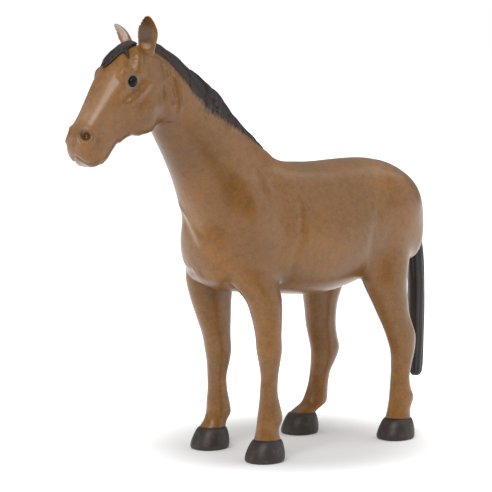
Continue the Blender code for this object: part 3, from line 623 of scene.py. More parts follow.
def melt(name, solids, voxel, passes):
    """Melts overlapping solids into one smooth skin."""
    bm = bmesh.new()
    for solid in solids:
        bm.from_mesh(solid.data)
        bpy.data.objects.remove(solid)
    thing = from_bmesh(name, bm)
    remesh = thing.modifiers.new("Melt", "REMESH")
    remesh.mode = "VOXEL"
    remesh.voxel_size = voxel
    soften = thing.modifiers.new("Soften", "SMOOTH")
    soften.factor = SMOOTHING
    soften.iterations = passes
    return settle(thing)


def cut(thing, tool, operation):
    """Cuts an object with a tool or joins them, and removes the tool."""
    step = thing.modifiers.new("Cut", "BOOLEAN")
    step.operation = operation
    step.solver = "MANIFOLD"
    step.object = tool
    settle(thing)
    bpy.data.objects.remove(tool)
    return thing


def trunk_point(along, below):
    """A point on the mid-plane, along the trunk and below the withers."""
    return Vector((CHEST_X + along * TRUNK_LENGTH, 0, WITHERS_HEIGHT - below * TRUNK_DEPTH))


def frame_at(angle):
    """Directions on the mid-plane: along an angle, and square to it."""
    along = Vector((cos(angle), 0, sin(angle)))
    return along, Vector((-along.z, 0, along.x))


def neck_point(along_share, across_share):
    """A point on the mid-plane, along the neck and across it towards the throat."""
    along, across = frame_at(NECK_ANGLE)
    start = trunk_point(*NECK_ROOT)
    return start + along * along_share * NECK_LENGTH + across * across_share * NECK_DEPTH


def face_point(down_share, back_share, side_share=0.0):
    """A point of the head: down the face, back from it, and to the horse's left."""
    down, back = frame_at(FACE_ANGLE)
    side = Vector((0, -side_share * HEAD_WIDTH, 0))
    top = neck_point(*FACE_TOP)
    return top + down * down_share * HEAD_LENGTH + back * back_share * HEAD_DEPTH + side


def face_side(place, hand):
    """A point of the head on the horse's left, or the same on its right."""
    return face_point(place[0], place[1], -hand * place[2])


def ring_between(upper, lower, width, wall, square, egg):
    """A ring between two points on the mid-plane; one of a hollow doesn't narrow."""
    side = Vector((0, width / 2 - wall, 0))
    return ring((upper + lower) / 2, (upper - lower) / 2, side, square, 0 if wall else egg)


def trunk_rings(rows, wall=0.0):
    """The barrel, from chest to buttocks; a wall makes the rings of its hollow."""
    rings = []
    for along, top, bottom, width, egg in rows:
        high = top * WITHERS_HEIGHT - wall
        low = WITHERS_HEIGHT - bottom * TRUNK_DEPTH + wall
        middle = Vector((CHEST_X + along * TRUNK_LENGTH, 0, (high + low) / 2))
        side = Vector((0, width * TRUNK_WIDTH / 2 - wall, 0))
        rings.append(ring(middle, Vector((0, 0, (high - low) / 2)), side, BODY_SQUARE, egg))
    return rings


def neck_rings(rows, wall=0.0):
    """The neck; its hollow stays clear of the mane's seat."""
    rings = []
    for crest_along, crest_across, throat_along, throat_across, width in rows:
        crest = neck_point(crest_along, crest_across)
        throat = neck_point(throat_along, throat_across)
        down = (throat - crest).normalized()
        if wall:
            crest = crest + down * (MANE_DEPTH + wall)
            throat = throat - down * wall
        rings.append(ring_between(crest, throat, width * NECK_WIDTH, wall, BODY_SQUARE, NECK_EGG))
    return rings


def head_rings(rows, wall=0.0):
    """The head, from poll to lips."""
    rings = []
    for down, front, back, width in rows:
        face = face_point(down, front)
        jaw = face_point(down, back)
        inward = (jaw - face).normalized()
        face = face + inward * wall
        jaw = jaw - inward * wall
        rings.append(ring_between(face, jaw, width * HEAD_WIDTH, wall, HEAD_SQUARE, HEAD_EGG))
    return rings


def legs():
    """Each leg's name, rows, height, place, side and thickness."""
    fore = trunk_point(FORE_PLACE, 0).x
    hind_left = trunk_point(HIND_LEFT_PLACE, 0).x
    hind_right = trunk_point(HIND_RIGHT_PLACE, 0).x
    return (
        ("front_left", FORE_LEFT, ELBOW_HEIGHT, fore, -1, KNEE_THICKNESS),
        ("front_right", FORE_RIGHT, ELBOW_HEIGHT, fore, 1, KNEE_THICKNESS),
        ("hind_left", HIND_LEFT, STIFLE_HEIGHT, hind_left, -1, HOCK_THICKNESS),
        ("hind_right", HIND_RIGHT, STIFLE_HEIGHT, hind_right, 1, HOCK_THICKNESS),
    )


def leg_rings(rows, height, x, hand, thickness):
    """One leg down to the top of its hoof."""
    rings = []
    for up, forward, length, width, spread in smooth_rows(rows, FINE_STEPS):
        z = HOOF_HEIGHT + up * (height - HOOF_HEIGHT)
        middle = Vector((x + forward * height, hand * spread * STANCE, z))
        lengthways = Vector((length * thickness / 2, 0, 0))
        rings.append(ring(middle, lengthways, Vector((0, width * thickness / 2, 0))))
    rings.append((rings[-1][0] - Vector((0, 0, HOOF_HEIGHT / 2)), *rings[-1][1:]))
    return rings


def ankle(rows, height, x, hand):
    """The middle of a leg's lower end."""
    return Vector((x + rows[-1][1] * height, hand * rows[-1][4] * STANCE, HOOF_HEIGHT))


def ear_frame(hand):
    """The ear's own axes, turned outwards: width, opening and height."""
    turn = Euler((-hand * EAR_SPREAD[hand > 0], -EAR_LEAN, -hand * EAR_TURN[hand > 0])).to_matrix()
    return turn @ Vector((0, 1, 0)), turn @ Vector((1, 0, 0)), turn @ Vector((0, 0, 1))


def ear(hand):
    """A leaf-shaped ear, cupped towards the front."""
    wide, deep, up = ear_frame(hand)
    tall = EAR_HEIGHT * (RIGHT_EAR if hand > 0 else 1)
    root = face_side(EAR_PLACE, hand)
    rings = []
    for height, width, thickness, hollow in smooth_rows(EAR, FINE_STEPS):
        back = deep * thickness * EAR_THICKNESS / 2
        aside = wide * width * EAR_WIDTH / 2
        rings.append(ring(root + up * height * tall, back, aside, hollow=hollow))
    return melt("ear", [loft("ear", rings, FINE_SIDES)], *EAR_MELT)


def skin():
    """The whole brown skin before it is carved and parted."""
    torso = [
        loft("trunk", trunk_rings(smooth_rows(TRUNK, BODY_STEPS)), BODY_SIDES),
        loft("neck", neck_rings(smooth_rows(NECK, BODY_STEPS)), BODY_SIDES),
    ]
    for along, below, aside, length, thickness, height, tilt in MUSCLES:
        for hand in (-1, 1):
            middle = trunk_point(along, below) + Vector((0, hand * aside * TRUNK_WIDTH / 2, 0))
            radii = (length * TRUNK_LENGTH, thickness * TRUNK_WIDTH / 2, height * TRUNK_DEPTH)
            torso.append(ball("muscle", middle, radii, Euler((0, tilt, 0)).to_matrix()))
    body = melt("torso", torso, *TORSO_MELT)
    finer = body.modifiers.new("Finer", "SUBSURF")
    finer.levels = finer.render_levels = 1
    solids = [settle(body), loft("head", head_rings(smooth_rows(HEAD, FINE_STEPS)), FINE_SIDES)]
    for hand in (-1, 1):
        solids.append(ball("jaw", face_side(JAW, hand), (JAW_RADIUS, JAW_THICKNESS, JAW_RADIUS)))
        solids.append(ball("brow", face_side(BROW, hand), (BROW_RADIUS, BROW_RADIUS / 2, BROW_RADIUS)))
    for name, rows, height, x, hand, thickness in legs():
        solids.append(loft("leg", leg_rings(rows, height, x, hand, thickness), LEG_SIDES))
    return ease(melt("skin", solids, *SKIN_MELT))


def ease(thing):
    """Smooths the skin further where a limb runs into the trunk."""
    points = on_left(points_of(thing.data)[0])
    group = thing.vertex_groups.new(name="eased")
    share = np.zeros(len(points))
    for place, radius in EASED:
        away = np.linalg.norm(points - place, axis=1) / radius
        share = np.maximum(share, np.clip(EASING_EDGE - EASING_EDGE * away, 0, 1))
    for index in np.nonzero(share)[0]:
        group.add([int(index)], share[index], "REPLACE")
    soften = thing.modifiers.new("Soften", "SMOOTH")
    soften.factor = SMOOTHING
    soften.iterations = EASING_COUNT
    soften.vertex_group = group.name
    settle(thing)
    thing.vertex_groups.clear()
    return thing


def points_of(mesh):
    """A mesh's points and their normals, in millimetres."""
    count = len(mesh.vertices)
    points = np.empty(count * 3)
    normals = np.empty(count * 3)
    mesh.vertices.foreach_get("co", points)
    mesh.vertex_normals.foreach_get("vector", normals)
    return points.reshape(-1, 3) / MM, normals.reshape(-1, 3)


def on_left(points):
    """The points moved to the horse's left side, so that one carving serves both."""
    return points * (1, 0, 1) - np.abs(points) * (0, 1, 0)


def sides_of(thing):
    """An object's points and normals, and the same as they'd be on the horse's left."""
    points, normals = points_of(thing.data)
    out = normals * np.where(points[:, 1:2] > 0, (1, -1, 1), (1, 1, 1))
    return points, normals, on_left(points), out


def near_path(points, path):
    """How far each point is from a path, and where along it the path is nearest, from 0 to 1."""
    path = np.array(path, dtype=float)
    nearest = np.full(len(points), np.inf)
    where = np.zeros(len(points))
    for index, (start, end) in enumerate(zip(path, path[1:])):
        run = end - start
        share = np.clip((points - start) @ run / max(run @ run, 1e-9), 0, 1)
        away = np.linalg.norm(points - start - share[:, None] * run, axis=1)
        closer = away < nearest
        nearest[closer] = away[closer]
        where[closer] = (index + share[closer]) / (len(path) - 1)
    return nearest, where


def on_skin(points, path):
    """A path moved to the nearest points of the skin."""
    return [points[np.argmin(np.linalg.norm(points - place, axis=1))] for place in np.array(path)]


def stroke(points, path, width, height):
    """A ridge, or a groove where the height is negative, that fades out at its ends."""
    away, where = near_path(points, on_skin(points, smooth_rows(path, PATH_STEPS)))
    fade = np.clip(np.minimum(where, 1 - where) * STROKE_FADE, 0, 1)
    return height * np.exp(-(away / width) ** 2) * fade * fade * (3 - 2 * fade)


def local(points, normals, place):
    """Each point's place over a spot of the skin: along the skin forwards and upwards, and out of it."""
    at = np.argmin(np.linalg.norm(points - place, axis=1))
    out = normals[at]
    ahead = np.cross((0, 0, 1), out)
    ahead /= np.linalg.norm(ahead)
    offset = points - points[at]
    return offset @ ahead, offset @ np.cross(out, ahead), offset @ out


def reach_from(left, out, place, stretch):
    """Each point's reach from a spot of the face, and how high above the spot it lies."""
    ahead, above, away = local(left, out, place)
    far = (np.abs(away) > SKIN_REACH) * FAR_AWAY
    return np.hypot(ahead / stretch[0], above / stretch[1]) + far, above


def rim(reach, radius, width, height):
    """A raised ring at a radius."""
    return height * np.exp(-((reach - radius) / width) ** 2)


def rimmed(reach, radius, width, height, hollow_radius, depth):
    """A raised ring round a hollow."""
    return rim(reach, radius, width, height) - depth * np.exp(-(reach / hollow_radius) ** 4)


def dab(total, points, spots):
    """Adds soft round marks to a total, each given as place, radius and height."""
    for place, radius, height in spots:
        total += height * np.exp(-(np.linalg.norm(points - place, axis=1) / radius) ** 2)


def carve(thing):
    """Carves the figure's creases, ridges, lids, nostrils and lips into the skin."""
    points, normals, left, out = sides_of(thing)
    height = np.zeros(len(points))
    for path, width, rise in STROKES:
        height += stroke(left, path, width, rise)
    for path, width, rise in BREAST_LINE:
        height += stroke(points, path, width, rise)
    dab(height, left, SPOTS)
    points = points + normals * height[:, None]
    reach, above = reach_from(left, out, np.array(face_side(EYE_PLACE, -1)) / MM, LID_STRETCH)
    lid = rimmed(reach, *LID) - rim(reach, *LID_FOLD) * np.clip(above / FOLD_START, 0, 1)
    reach = reach_from(left, out, NOSTRIL_PLACE, NOSTRIL_STRETCH)[0]
    points = points + normals * (lid + rimmed(reach, *NOSTRIL))[:, None]
    thing.data.vertices.foreach_set("co", (points * MM).ravel())
    thing.data.update()


def hollow():
    """The hollow of the figure, with the bosses of its pins standing in it."""
    inside = melt("hollow", [
        loft("trunk", trunk_rings(TRUNK[2:-3], WALL), BODY_SIDES),
        loft("neck", neck_rings(NECK[1:-1], NECK_WALL), BODY_SIDES),
        loft("head", head_rings(HEAD[2:-3], WALL), BODY_SIDES),
    ], *HOLLOW_MELT)
    for middle in [trunk_point(*place) for place in PIN_PLACES] + [neck_point(*NECK_PIN)]:
        bm = bmesh.new()
        bmesh.ops.create_cone(bm, cap_ends=True, segments=BODY_SIDES, radius1=BOSS_RADIUS,
                              radius2=BOSS_RADIUS, depth=TRUNK_WIDTH)
        across = Matrix.Translation(middle) @ Matrix.Rotation(pi / 2, 4, "X")
        bmesh.ops.transform(bm, matrix=across, verts=bm.verts)
        cut(inside, from_bmesh("boss", bm), "DIFFERENCE")
    return inside


def half(name, whole, inside, hand):
    """One moulded half of the skin, hollow as the real one is."""
    piece = keep(name, whole.data.copy())
    cut(piece, keep("inside", inside.data.copy()), "DIFFERENCE")
    reach = Vector((TRUNK_LENGTH * 2, TRUNK_WIDTH * 2, WITHERS_HEIGHT * 2))
    low = Vector((-reach.x, SEAM / 2 if hand > 0 else -reach.y, HOOF_HEIGHT + SEAM))
    high = Vector((reach.x, reach.y if hand > 0 else -SEAM / 2, reach.z))
    cut(piece, ear(hand), "UNION")
    return cut(piece, block("half", low, high), "INTERSECT")


def neck_skin(share, turn):
    """Points round the neck in millimetres and their way out, at a share of its crest and a turn."""
    rows = np.array(smooth_rows(NECK, CREST_STEPS))
    shares = (rows[:, 0] - NECK[0][0]) / (NECK[-1][0] - NECK[0][0])
    row = [np.interp(share, shares, column) for column in rows.T]
    along, across = (np.array(way) for way in frame_at(NECK_ANGLE))
    root = np.array(trunk_point(*NECK_ROOT))
    crest = root + np.outer(row[0] * NECK_LENGTH, along) + np.outer(row[1] * NECK_DEPTH, across)
    throat = root + np.outer(row[2] * NECK_LENGTH, along) + np.outer(row[3] * NECK_DEPTH, across)
    reach = (throat - crest) / 2
    depth = np.linalg.norm(reach, axis=1)
    width = row[4] * NECK_WIDTH / 2
    up = np.abs(np.cos(turn)) ** (2 / BODY_SQUARE) * np.sign(np.cos(turn))
    aside = np.abs(np.sin(turn)) ** (2 / BODY_SQUARE) * np.sign(np.sin(turn))
    sideways = np.array((0, 1, 0))
    places = crest + reach * (1 - up)[:, None]
    places += np.outer(width * aside * (1 - NECK_EGG * up), sideways)
    out = np.outer(np.sin(turn) / width, sideways) - reach / depth[:, None] * (np.cos(turn) / depth)[:, None]
    out /= np.linalg.norm(out, axis=1)[:, None]
    return places / MM, out


def lobes(flow, pitch, start):
    """Overlapping locks across the flow of the hair: each rises at once and falls away slowly."""
    share = (flow / pitch + start) % 1
    return np.clip(share / LOCK_RISE, 0, 1) ** 0.6 * (1 - share) ** 0.8


def mane(whole):
    """The mane: combed locks that lie along the crest and thin out down both sides of the neck."""
    skin_tree = BVHTree.FromObject(whole, bpy.context.evaluated_depsgraph_get())
    bm = bmesh.new()
    bmesh.ops.create_grid(bm, x_segments=MANE_STEPS, y_segments=MANE_STRIPS, size=1)
    spots = np.array([vert.co for vert in bm.verts])
    shares, edges, rises = np.array(MANE_EDGE).T
    share = shares[0] + (shares[-1] - shares[0]) * (spots[:, 0] + 1) / 2
    edge = np.radians(np.interp(share, shares, edges))
    rise = np.interp(share, shares, rises)
    beyond = np.abs(spots[:, 1])
    left = spots[:, 1] < 0
    back = (1 - share) * CREST_LENGTH
    arc = edge * CREST_RADIUS * beyond
    pitch, start, shift = TIPS
    tips = lobes(back - HAIR_SLANT * edge * CREST_RADIUS, pitch, start + shift * left)
    turn = spots[:, 1] * edge * (TIP_REACH[0] + TIP_REACH[1] * tips)
    sway, along, down = HAIR_SWAY
    flow = back - HAIR_SLANT * arc + sway * np.sin(back * along + arc * down) * beyond
    lift = HAIR_BULK * (1 - beyond ** 3) - HAIR_BULK * beyond ** 6
    lift += (rise - HAIR_BULK) * np.exp(-(turn / CREST_SPREAD) ** 2)
    locks = sum(height * lobes(flow, pitch, start) for height, pitch, start in LOCKS)
    fullness = 0.4 + 0.6 * np.clip(rise / FULL_RISE, 0, 1)
    lift += (locks - LOCK_MEAN) * fullness * (1 - beyond ** 8)
    lift += strands(flow * FLOW_SHARE, STRAND_DEPTH) * (1 - beyond ** 8)
    # The strands' backs painted greyer, partly as a painted sheen
    greyer = np.clip(strands(flow * FLOW_SHARE, STRAND_GREY) + GREY_BASE, 0, 1)
    greyer *= 1 - np.exp(-(turn / SIDE_START) ** 2)
    pale_layer, dark_layer = [bm.verts.layers.float.new(name) for name in ("pale_and_highlight", "dark_and_shade")]
    places, ways = neck_skin(share, turn)
    for vert, place, out, height, pale_and_highlight, dark_and_shade in zip(bm.verts, places, ways, lift, greyer, beyond ** 6):
        vert.co = skin_tree.find_nearest(Vector(place) * MM)[0] + Vector(out) * height * MM
        vert[pale_layer] = pale_and_highlight
        vert[dark_layer] = dark_and_shade
    bmesh.ops.recalc_face_normals(bm, faces=bm.faces)
    bmesh.ops.solidify(bm, geom=bm.faces[:], thickness=-MANE_THICKNESS)
    return from_bmesh("mane", bm)


def lock(path, width, thickness, ups):
    """A lock of hair along a path: a flat lens that swells from its root and thins to a tip."""
    rings = []
    for index, place in enumerate(path):
        share = index / (len(path) - 1)
        swell = (0.4 + 0.6 * min(share * 4, 1)) * max(1 - share ** 2.6, 0.05)
        ahead = path[min(index + 1, len(path) - 1)] - path[max(index - 1, 0)]
        side = ahead.cross(ups[index]).normalized()
        up = side.cross(ahead).normalized()
        rings.append(ring(place, up * thickness * swell / 2, side * width * swell / 2))
    return loft("lock", rings, LOCK_SIDES)


def comb(thing, points, normals, flow, depth, swell=0.0):
    """Combs fine strands into a piece of hair and paints their backs greyer, partly as a painted sheen."""
    height = strands(flow, depth) + swell
    thing.data.vertices.foreach_set("co", ((points + normals * height[:, None]) * MM).ravel())
    paint(thing, {"pale_and_highlight": strands(flow, STRAND_GREY) + GREY_BASE, "dark_and_shade": np.zeros(len(points))})
    return thing


def strands(flow, depth):
    """Fine grooves of combed hair: flow is the place across the strands, in millimetres."""
    wave = np.zeros(len(flow))
    for pitch, share, start in STRANDS:
        wave += share * (np.abs(np.sin(flow * pi / pitch + start)) ** 0.6 - STRAND_MEAN)
    return depth * wave


def forelock(whole):
    """The forelock: flat locks that lie from the poll over the forehead."""
    solids = []
    points, normals = points_of(whole.data)
    for path, width, thickness in FORELOCK:
        route = []
        ups = []
        for place in smooth_rows(path, PATH_STEPS):
            at = np.argmin(np.linalg.norm(points - place, axis=1))
            ups.append(Vector(normals[at]))
            route.append(Vector(points[at] + normals[at] * thickness * FORELOCK_SEAT) * MM)
        solids.append(lock(route, width * MM, thickness * MM, ups))
    thing = melt("forelock", solids, *FORELOCK_MELT)
    points, normals = points_of(thing.data)
    apart = np.sign(points[:, 1] - FORELOCK_PARTING)
    flow = points[:, 1] + FORELOCK_SLANT * (points[:, 0] + points[:, 2]) * apart
    return comb(thing, points, normals, flow, STRAND_DEPTH)


def tail_point(height, forward):
    """A point on the middle line of the tail."""
    top = WITHERS_HEIGHT - TAIL_DROP
    behind = trunk_point(1, 0).x + TAIL_SET_BACK
    return Vector((behind - forward * TAIL_LENGTH, 0, TAIL_END + height * (top - TAIL_END)))


def tail():
    """The tail: a hanging core under locks that run from the dock to the blunt end."""
    rings = []
    for height, forward, length, width in smooth_rows(TAIL, TAIL_STEPS):
        lengthways = Vector((length * TAIL_LENGTH / 2, 0, 0))
        sideways = Vector((0, width * TAIL_WIDTH / 2, 0))
        rings.append(ring(tail_point(height, forward), lengthways, sideways, TAIL_SQUARE))
    thing = melt("tail", [loft("core", rings, TAIL_SIDES)], *TAIL_MELT)
    points, normals = points_of(thing.data)
    middle = tail_point(0, 0).x / MM
    twist = np.arctan2(points[:, 1], points[:, 0] - middle)
    for share, pace, start in TAIL_TWIST:
        twist = twist + share * np.sin(points[:, 2] * pace + start)
    count, start, depth, shrink = TAIL_LOCKS
    swell = depth * (np.abs(np.sin(twist * count + start)) ** 0.7 - 0.6) - shrink
    return comb(thing, points, normals, twist * TAIL_FLOW, TAIL_STRAND_DEPTH, swell)


def hoof(name, rows, height, x, hand):
    """A hoof: long sloping toe, steep rounded heel, faint growth rings and a rounded sole edge."""
    top = ankle(rows, height, x, hand)
    rings = []
    for up, length, width, shift in smooth_rows(HOOF, HOOF_STEPS):
        middle = Vector((top.x - shift * TOE_REACH, top.y, up * HOOF_HEIGHT))
        wave = 1 + GROWTH[0] * sin(up * GROWTH[1])
        rings.append(ring(middle, Vector((length * HOOF_LENGTH / 2 * wave, 0, 0)),
                          Vector((0, width * HOOF_WIDTH / 2 * wave, 0)), BODY_SQUARE))
    return loft(name, rings, FINE_SIDES)


def eye(name, hand):
    """A glossy bead between the lids."""
    turn = Euler((0, EYE_TILT, 0)).to_matrix()
    return ball(name, face_side(EYE_PLACE, hand), EYE_RADII, turn, EYE_SIDES)


class Wire:
    """One shader socket; sums of wires and numbers add their Math nodes."""

    def __init__(self, tree, socket=None):
        self.tree = tree
        self.socket = socket

    def node(self, kind, settings=None, sockets=None, output=0):
        """Adds a node: first its settings, then the values or wires of its sockets."""
        made = self.tree.nodes.new(kind)
        for name, value in (settings or {}).items():
            setattr(made, name, value)
        for key, value in (sockets or {}).items():
            if isinstance(value, Wire):
                self.tree.links.new(value.socket, made.inputs[key])
            else:
                made.inputs[key].default_value = value
        return Wire(self.tree, made.outputs[output] if len(made.outputs) else None)

    def maths(self, operation, first, second):
        """One sum of two wires or numbers."""
        return self.node("ShaderNodeMath", {"operation": operation}, {0: first, 1: second})

    def __add__(self, other):
        return self.maths("ADD", self, other)

    __radd__ = __add__

    def __sub__(self, other):
        return self.maths("SUBTRACT", self, other)

    def __rsub__(self, other):
        return self.maths("SUBTRACT", other, self)

    def __mul__(self, other):
        return self.maths("MULTIPLY", self, other)

    __rmul__ = __mul__

    def blend(self, below, above):
        """Goes from one colour to another as this wire goes from 0 to 1."""
        return self.node("ShaderNodeMix", {"data_type": "RGBA"}, {0: self, 6: below, 7: above}, 2)

    def spread(self, low, high):
        """Stretches low to high over 0 to 1, with soft ends."""
        settings = {"interpolation_type": "SMOOTHSTEP"}
        return self.node("ShaderNodeMapRange", settings, {0: self, 1: low, 2: high})

    def noise(self, size, detail=2.0, rough=0.5):
        """Noise whose marks are about this size in metres."""
        where = self.node("ShaderNodeTexCoord", output=3)
        return self.node("ShaderNodeTexNoise", None,
                         {"Vector": where, "Scale": 1 / size, "Detail": detail, "Roughness": rough})

    def seen(self):
        """Where something is looked at, mirrored or seen through, and not where it lights another thing."""
        camera = self.node("ShaderNodeLightPath")
        glossy = self.node("ShaderNodeLightPath", output=3)
        through = self.node("ShaderNodeLightPath", output=6)
        return self.maths("MAXIMUM", camera, self.maths("MAXIMUM", glossy, through))

    def grit(self, strength, depth, height):
        """A fine bump for the Normal of a finish."""
        return self.node("ShaderNodeBump", None, {"Strength": strength, "Distance": depth, "Height": height})

    def painted(self, name):
        """What is painted on the piece under this name, from 0 to 1."""
        return self.node("ShaderNodeAttribute", {"attribute_name": name}, output=2)


def finish(name, gloss):
    """A new finish with the values that are the same all over it."""
    made = bpy.data.materials.new(name)
    made.use_nodes = True
    shader = made.node_tree.nodes["Principled BSDF"]
    for key, value in zip(("Coat Weight", "Coat Roughness", "Specular IOR Level"), gloss):
        shader.inputs[key].default_value = value
    return made, Wire(made.node_tree)


def wear(made, **links):
    """Links wires to the shader of a finish."""
    tree = made.node_tree
    for key, wire in links.items():
        tree.links.new(wire.socket, tree.nodes["Principled BSDF"].inputs[key.replace("_", " ")])
    return made


def brown_plastic():
    """Satin brown plastic, sprayed unevenly, with a fine grain, painted shade and painted highlights."""
    made, wire = finish("brown_plastic", COAT_GLOSS)
    broad = wire.noise(COAT_MARKS[0], 1)
    patches = wire.noise(COAT_MARKS[1], 4, 0.6)
    grain = wire.noise(COAT_MARKS[2], 2, 0.6)
    fine = wire.noise(COAT_MARKS[3], 1)
    colour = (broad * 0.4 + patches * 0.6).spread(0.3, 0.76).blend(COAT_BROWN, COAT_WARM)
    colour = (patches.spread(0.52, 0.72) * 0.16 + grain.spread(0.5, 0.8) * 0.22).blend(colour, COAT_DEEP)
    colour = (grain.spread(0.56, 0.34) * fine.spread(0.5, 0.75) * 0.18).blend(colour, COAT_PALE)
    # Paler spray with painted highlights, then darker spray with painted shade, from the skin's marks
    colour = (wire.painted("pale_and_highlight") * (0.5 + patches * 0.6)).blend(colour, COAT_PALE)
    colour = (wire.painted("dark_and_shade") * (0.75 + grain * 0.3)).blend(colour, COAT_DEEP)
    colour = wire.painted("lid").blend(colour, LID_GREY)
    soot = (wire.painted("soot") + (grain - 0.5) * 0.5 * wire.painted("soot")).spread(0.15, 0.9)
    colour = soot.blend(colour, SOOT_BROWN)
    rough = 0.4 + broad * 0.08 + grain * 0.08
    bump = wire.grit(0.25, COAT_GRIT, grain * 0.6 + fine * 0.4)
    return wear(made, Base_Color=colour, Roughness=rough, Normal=bump)


def charcoal_hair():
    """Charcoal paint on combed hair, greyer on the strands' backs, partly as a painted sheen."""
    made, wire = finish("charcoal_hair", HAIR_GLOSS)
    patches = wire.noise(HAIR_MARKS[0], 3)
    grain = wire.noise(HAIR_MARKS[1], 2, 0.6)
    colour = (wire.painted("pale_and_highlight") * (0.35 + patches * 0.7)).blend(HAIR_DARK, HAIR_GREY)
    colour = (wire.painted("dark_and_shade") * 0.8).blend(colour, COAT_DEEP)
    bump = wire.grit(0.3, DARK_GRIT, grain)
    return wear(made, Base_Color=colour, Roughness=0.38 + grain * 0.16, Normal=bump)


def charcoal_horn():
    """Charcoal paint on the hooves, worn to brown in places."""
    made, wire = finish("charcoal_horn", HORN_GLOSS)
    patches = wire.noise(HORN_MARKS[0], 3)
    grain = wire.noise(HORN_MARKS[1], 2, 0.6)
    colour = (patches.spread(0.45, 0.75) * 0.8).blend(HORN_DARK, HORN_BROWN)
    colour = (grain.spread(0.58, 0.8) * 0.3).blend(colour, HAIR_GREY)
    bump = wire.grit(0.3, DARK_GRIT, grain)
    return wear(made, Base_Color=colour, Roughness=0.42 + grain * 0.14, Normal=bump)


def eye_gloss():
    """Glossy black paint with a faint brown depth."""
    made, wire = finish("eye_gloss", EYE_SHINE)
    depth = wire.noise(EYE_MARKS, 2)
    colour = depth.spread(0.4, 0.8).blend(EYE_BLACK, HORN_DARK)
    return wear(made, Base_Color=colour, Roughness=0.24 + depth * 0.1)


def paint(thing, marks):
    """Stores painted marks on an object, each a share from 0 to 1 for every point."""
    for name, values in marks.items():
        layer = thing.data.attributes.new(name, "FLOAT", "POINT")
        layer.data.foreach_set("value", np.clip(values, 0, 1))


def nearest_to(thing, points, step=7):
    """How far each point is from another object's points, in millimetres."""
    others = points_of(thing.data)[0][::step]
    tree = KDTree(len(others))
    for index, place in enumerate(others):
        tree.insert(place, index)
    tree.balance()
    return np.array([tree.find(place)[2] for place in points])


def ear_shade_and_light(points, normals, hand):
    """Painted shade inside the left ear, and painted light inside the right one."""
    wide, deep, up = (np.array(way) for way in ear_frame(hand))
    offset = points - np.array(face_side(EAR_PLACE, hand)) / MM
    across = offset @ wide
    high = np.clip((offset @ up - EAR_PAINT_FOOT) / 2, 0, 1) * (np.abs(across) < EAR_PAINT_ACROSS)
    cupped = np.clip(-normals @ deep * 1.6 - 0.1, 0, 1) * high * (offset @ deep > EAR_PAINT_AHEAD)
    low = np.clip(1.45 - offset @ up / (EAR_HEIGHT / MM), 0.4, 1)
    shade_inside, lit_inside = (np.clip(edge - np.abs(across), 0, 1) for edge in EAR_PAINT_RIMS)
    dark_and_shade = (1.2 + 0.8 * np.clip(across / 2, -1, 1)) * low * cupped * shade_inside * (hand < 0)
    return dark_and_shade, lit_inside * cupped * (hand > 0)


def paint_skin(thing, hair, hand):
    """Overspray by the mane and hooves, lids, painted shade in creases, nostrils and the left ear, painted
    light in the right ear, and darker and paler coat that is partly painted shade and highlight.
    """
    points, normals, left, out = sides_of(thing)
    reach, share = SOOT
    soot = np.exp(-(nearest_to(hair, points) / reach) ** 2) * share
    soot += np.clip(1 - (points[:, 2] - HOOF_HEIGHT / MM) / HOOF_SOOT, 0, 1)
    dark_and_shade = np.zeros(len(points))
    # Painted shade along the narrow grooves
    for path, width, rise in STROKES:
        if rise < 0 and width < CREASE_WIDTH:
            dark_and_shade += np.maximum(-stroke(left, path, width, rise), 0) * CREASE_SHADE
    reach = reach_from(left, out, np.array(face_side(EYE_PLACE, -1)) / MM, LID_STRETCH)[0]
    radius, width, share = LID_PAINT
    lid = share * np.exp(-(np.maximum(reach - radius, 0) / width) ** 2)
    dark_and_shade += rim(reach, *LASH_PAINT)
    # Painted shade in the nostrils' hollows
    reach = reach_from(left, out, NOSTRIL_PLACE, NOSTRIL_STRETCH)[0]
    dark_and_shade += np.exp(-(reach / NOSTRIL_SHADE) ** 4)
    # Painted shade inside the left ear and painted light inside the right
    inside_shade, pale_and_highlight = ear_shade_and_light(points, normals, hand)
    dark_and_shade += inside_shade
    # Darker spray, partly painted shade under the head and on the neck and shoulder
    dab(dark_and_shade, left, DARKER_AND_SHADE)
    # Paler spray, partly painted highlights on forehead, nose, breast and rump
    dab(pale_and_highlight, left, PALER_AND_HIGHLIGHT)
    paint(thing, {"soot": soot, "dark_and_shade": dark_and_shade, "pale_and_highlight": pale_and_highlight, "lid": lid})


def bare(made):
    """A wire in the emptied nodes of a material or world."""
    made.use_nodes = True
    made.node_tree.nodes.clear()
    return Wire(made.node_tree)


def floor():
    """A pale floor that fades into the white backdrop and keeps the figure's soft shadow."""
    bm = bmesh.new()
    bmesh.ops.create_grid(bm, x_segments=1, y_segments=1, size=FLOOR_REACH)
    thing = from_bmesh("floor", bm)
    made = bpy.data.materials.new("pale_floor")
    wire = bare(made)
    lit = wire.node("ShaderNodeBsdfDiffuse", None, {"Color": FLOOR_COLOUR})
    seen = wire.seen()
    where = wire.node("ShaderNodeTexCoord", output=3)
    away = wire.node("ShaderNodeVectorMath", {"operation": "DISTANCE"}, {0: where, 1: FLOOR_MIDDLE}, 1)
    whiter = FLOOR_GLOW + away.spread(FLOOR_NEAR, FLOOR_FAR) * (1 - FLOOR_GLOW)
    glow = wire.node("ShaderNodeEmission", None, {"Color": (1, 1, 1, 1), "Strength": seen * whiter})
    both = wire.node("ShaderNodeAddShader", None, {0: lit, 1: glow})
    wire.node("ShaderNodeOutputMaterial", None, {"Surface": both})
    thing.data.materials.append(made)


def lamp(name, place, size, power):
    """A soft square lamp that points at the figure."""
    data = bpy.data.lights.new(name, "AREA")
    data.size = size
    data.energy = power
    thing = keep(name, data)
    thing.location = place
    thing.rotation_euler = (AIM - Vector(place)).to_track_quat("-Z", "Y").to_euler()


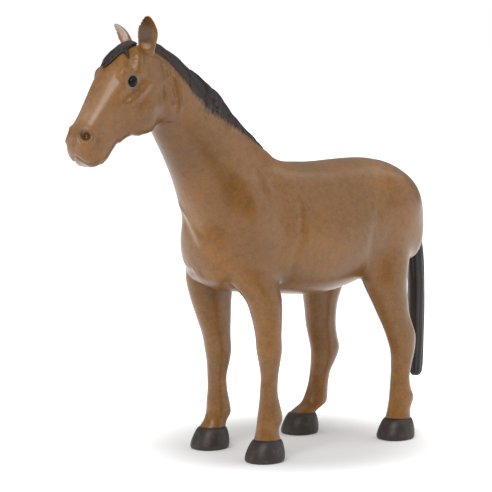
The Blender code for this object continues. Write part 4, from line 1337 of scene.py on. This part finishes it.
def world():
    """White where it is seen or mirrored, and a soft plain light for everything else."""
    made = bpy.data.worlds.new("studio")
    bpy.context.scene.world = made
    wire = bare(made)
    glossy = wire.node("ShaderNodeLightPath", output=3)
    strength = wire.seen() * (1 - WORLD_LIGHT) + glossy * (WORLD_MIRRORED - 1) + WORLD_LIGHT
    back = wire.node("ShaderNodeBackground", None, {"Color": (1, 1, 1, 1), "Strength": strength})
    wire.node("ShaderNodeOutputWorld", None, {"Surface": back})


def camera():
    """The camera at the photograph's angle."""
    data = bpy.data.cameras.new("camera")
    data.lens = LENS
    data.sensor_width = SENSOR_WIDTH
    data.clip_start = CLIP_START
    thing = keep("camera", data)
    back = Vector((sin(AZIMUTH) * cos(ELEVATION), -cos(AZIMUTH) * cos(ELEVATION), sin(ELEVATION)))
    thing.location = AIM + back * DISTANCE
    thing.rotation_euler = back.to_track_quat("Z", "Y").to_euler()
    bpy.context.scene.camera = thing


def dress(thing, material, slot, *nodes):
    """Gives a piece its finish and puts it in place of its nodes."""
    thing.data.materials.clear()
    thing.data.materials.append(material)
    thing.data.shade_smooth()
    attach(thing, "root")
    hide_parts(*nodes)


brown = brown_plastic()
hair_paint = charcoal_hair()
horn = charcoal_horn()
gloss = eye_gloss()

whole = skin()
carve(whole)
brow_hair = forelock(whole)
crest_hair = mane(whole)
inside = hollow()
halves = [half("skin_left", whole, inside, -1), half("skin_right", whole, inside, 1)]
bpy.data.objects.remove(whole)
bpy.data.objects.remove(inside)
for piece, node, hand in zip(halves, ("body_left", "body_right"), (-1, 1)):
    paint_skin(piece, crest_hair, hand)
    dress(piece, brown, "brown_plastic", node)
dock_hair = tail()
for piece, node in ((crest_hair, "mane"), (brow_hair, "forelock"), (dock_hair, "tail")):
    piece.name = node + "_hair"
    dress(piece, hair_paint, "charcoal_plastic", node)
for leg, rows, height, x, hand, thickness in legs():
    dress(hoof("horn_" + leg, rows, height, x, hand), horn, "charcoal_plastic", "hoof_" + leg)
for side, hand in (("left", -1), ("right", 1)):
    dress(eye("bead_" + side, hand), gloss, "eye_gloss", "eye_" + side)

floor()
for row in LAMPS:
    lamp(*row)
world()
camera()
bpy.context.scene.view_settings.view_transform = "Standard"
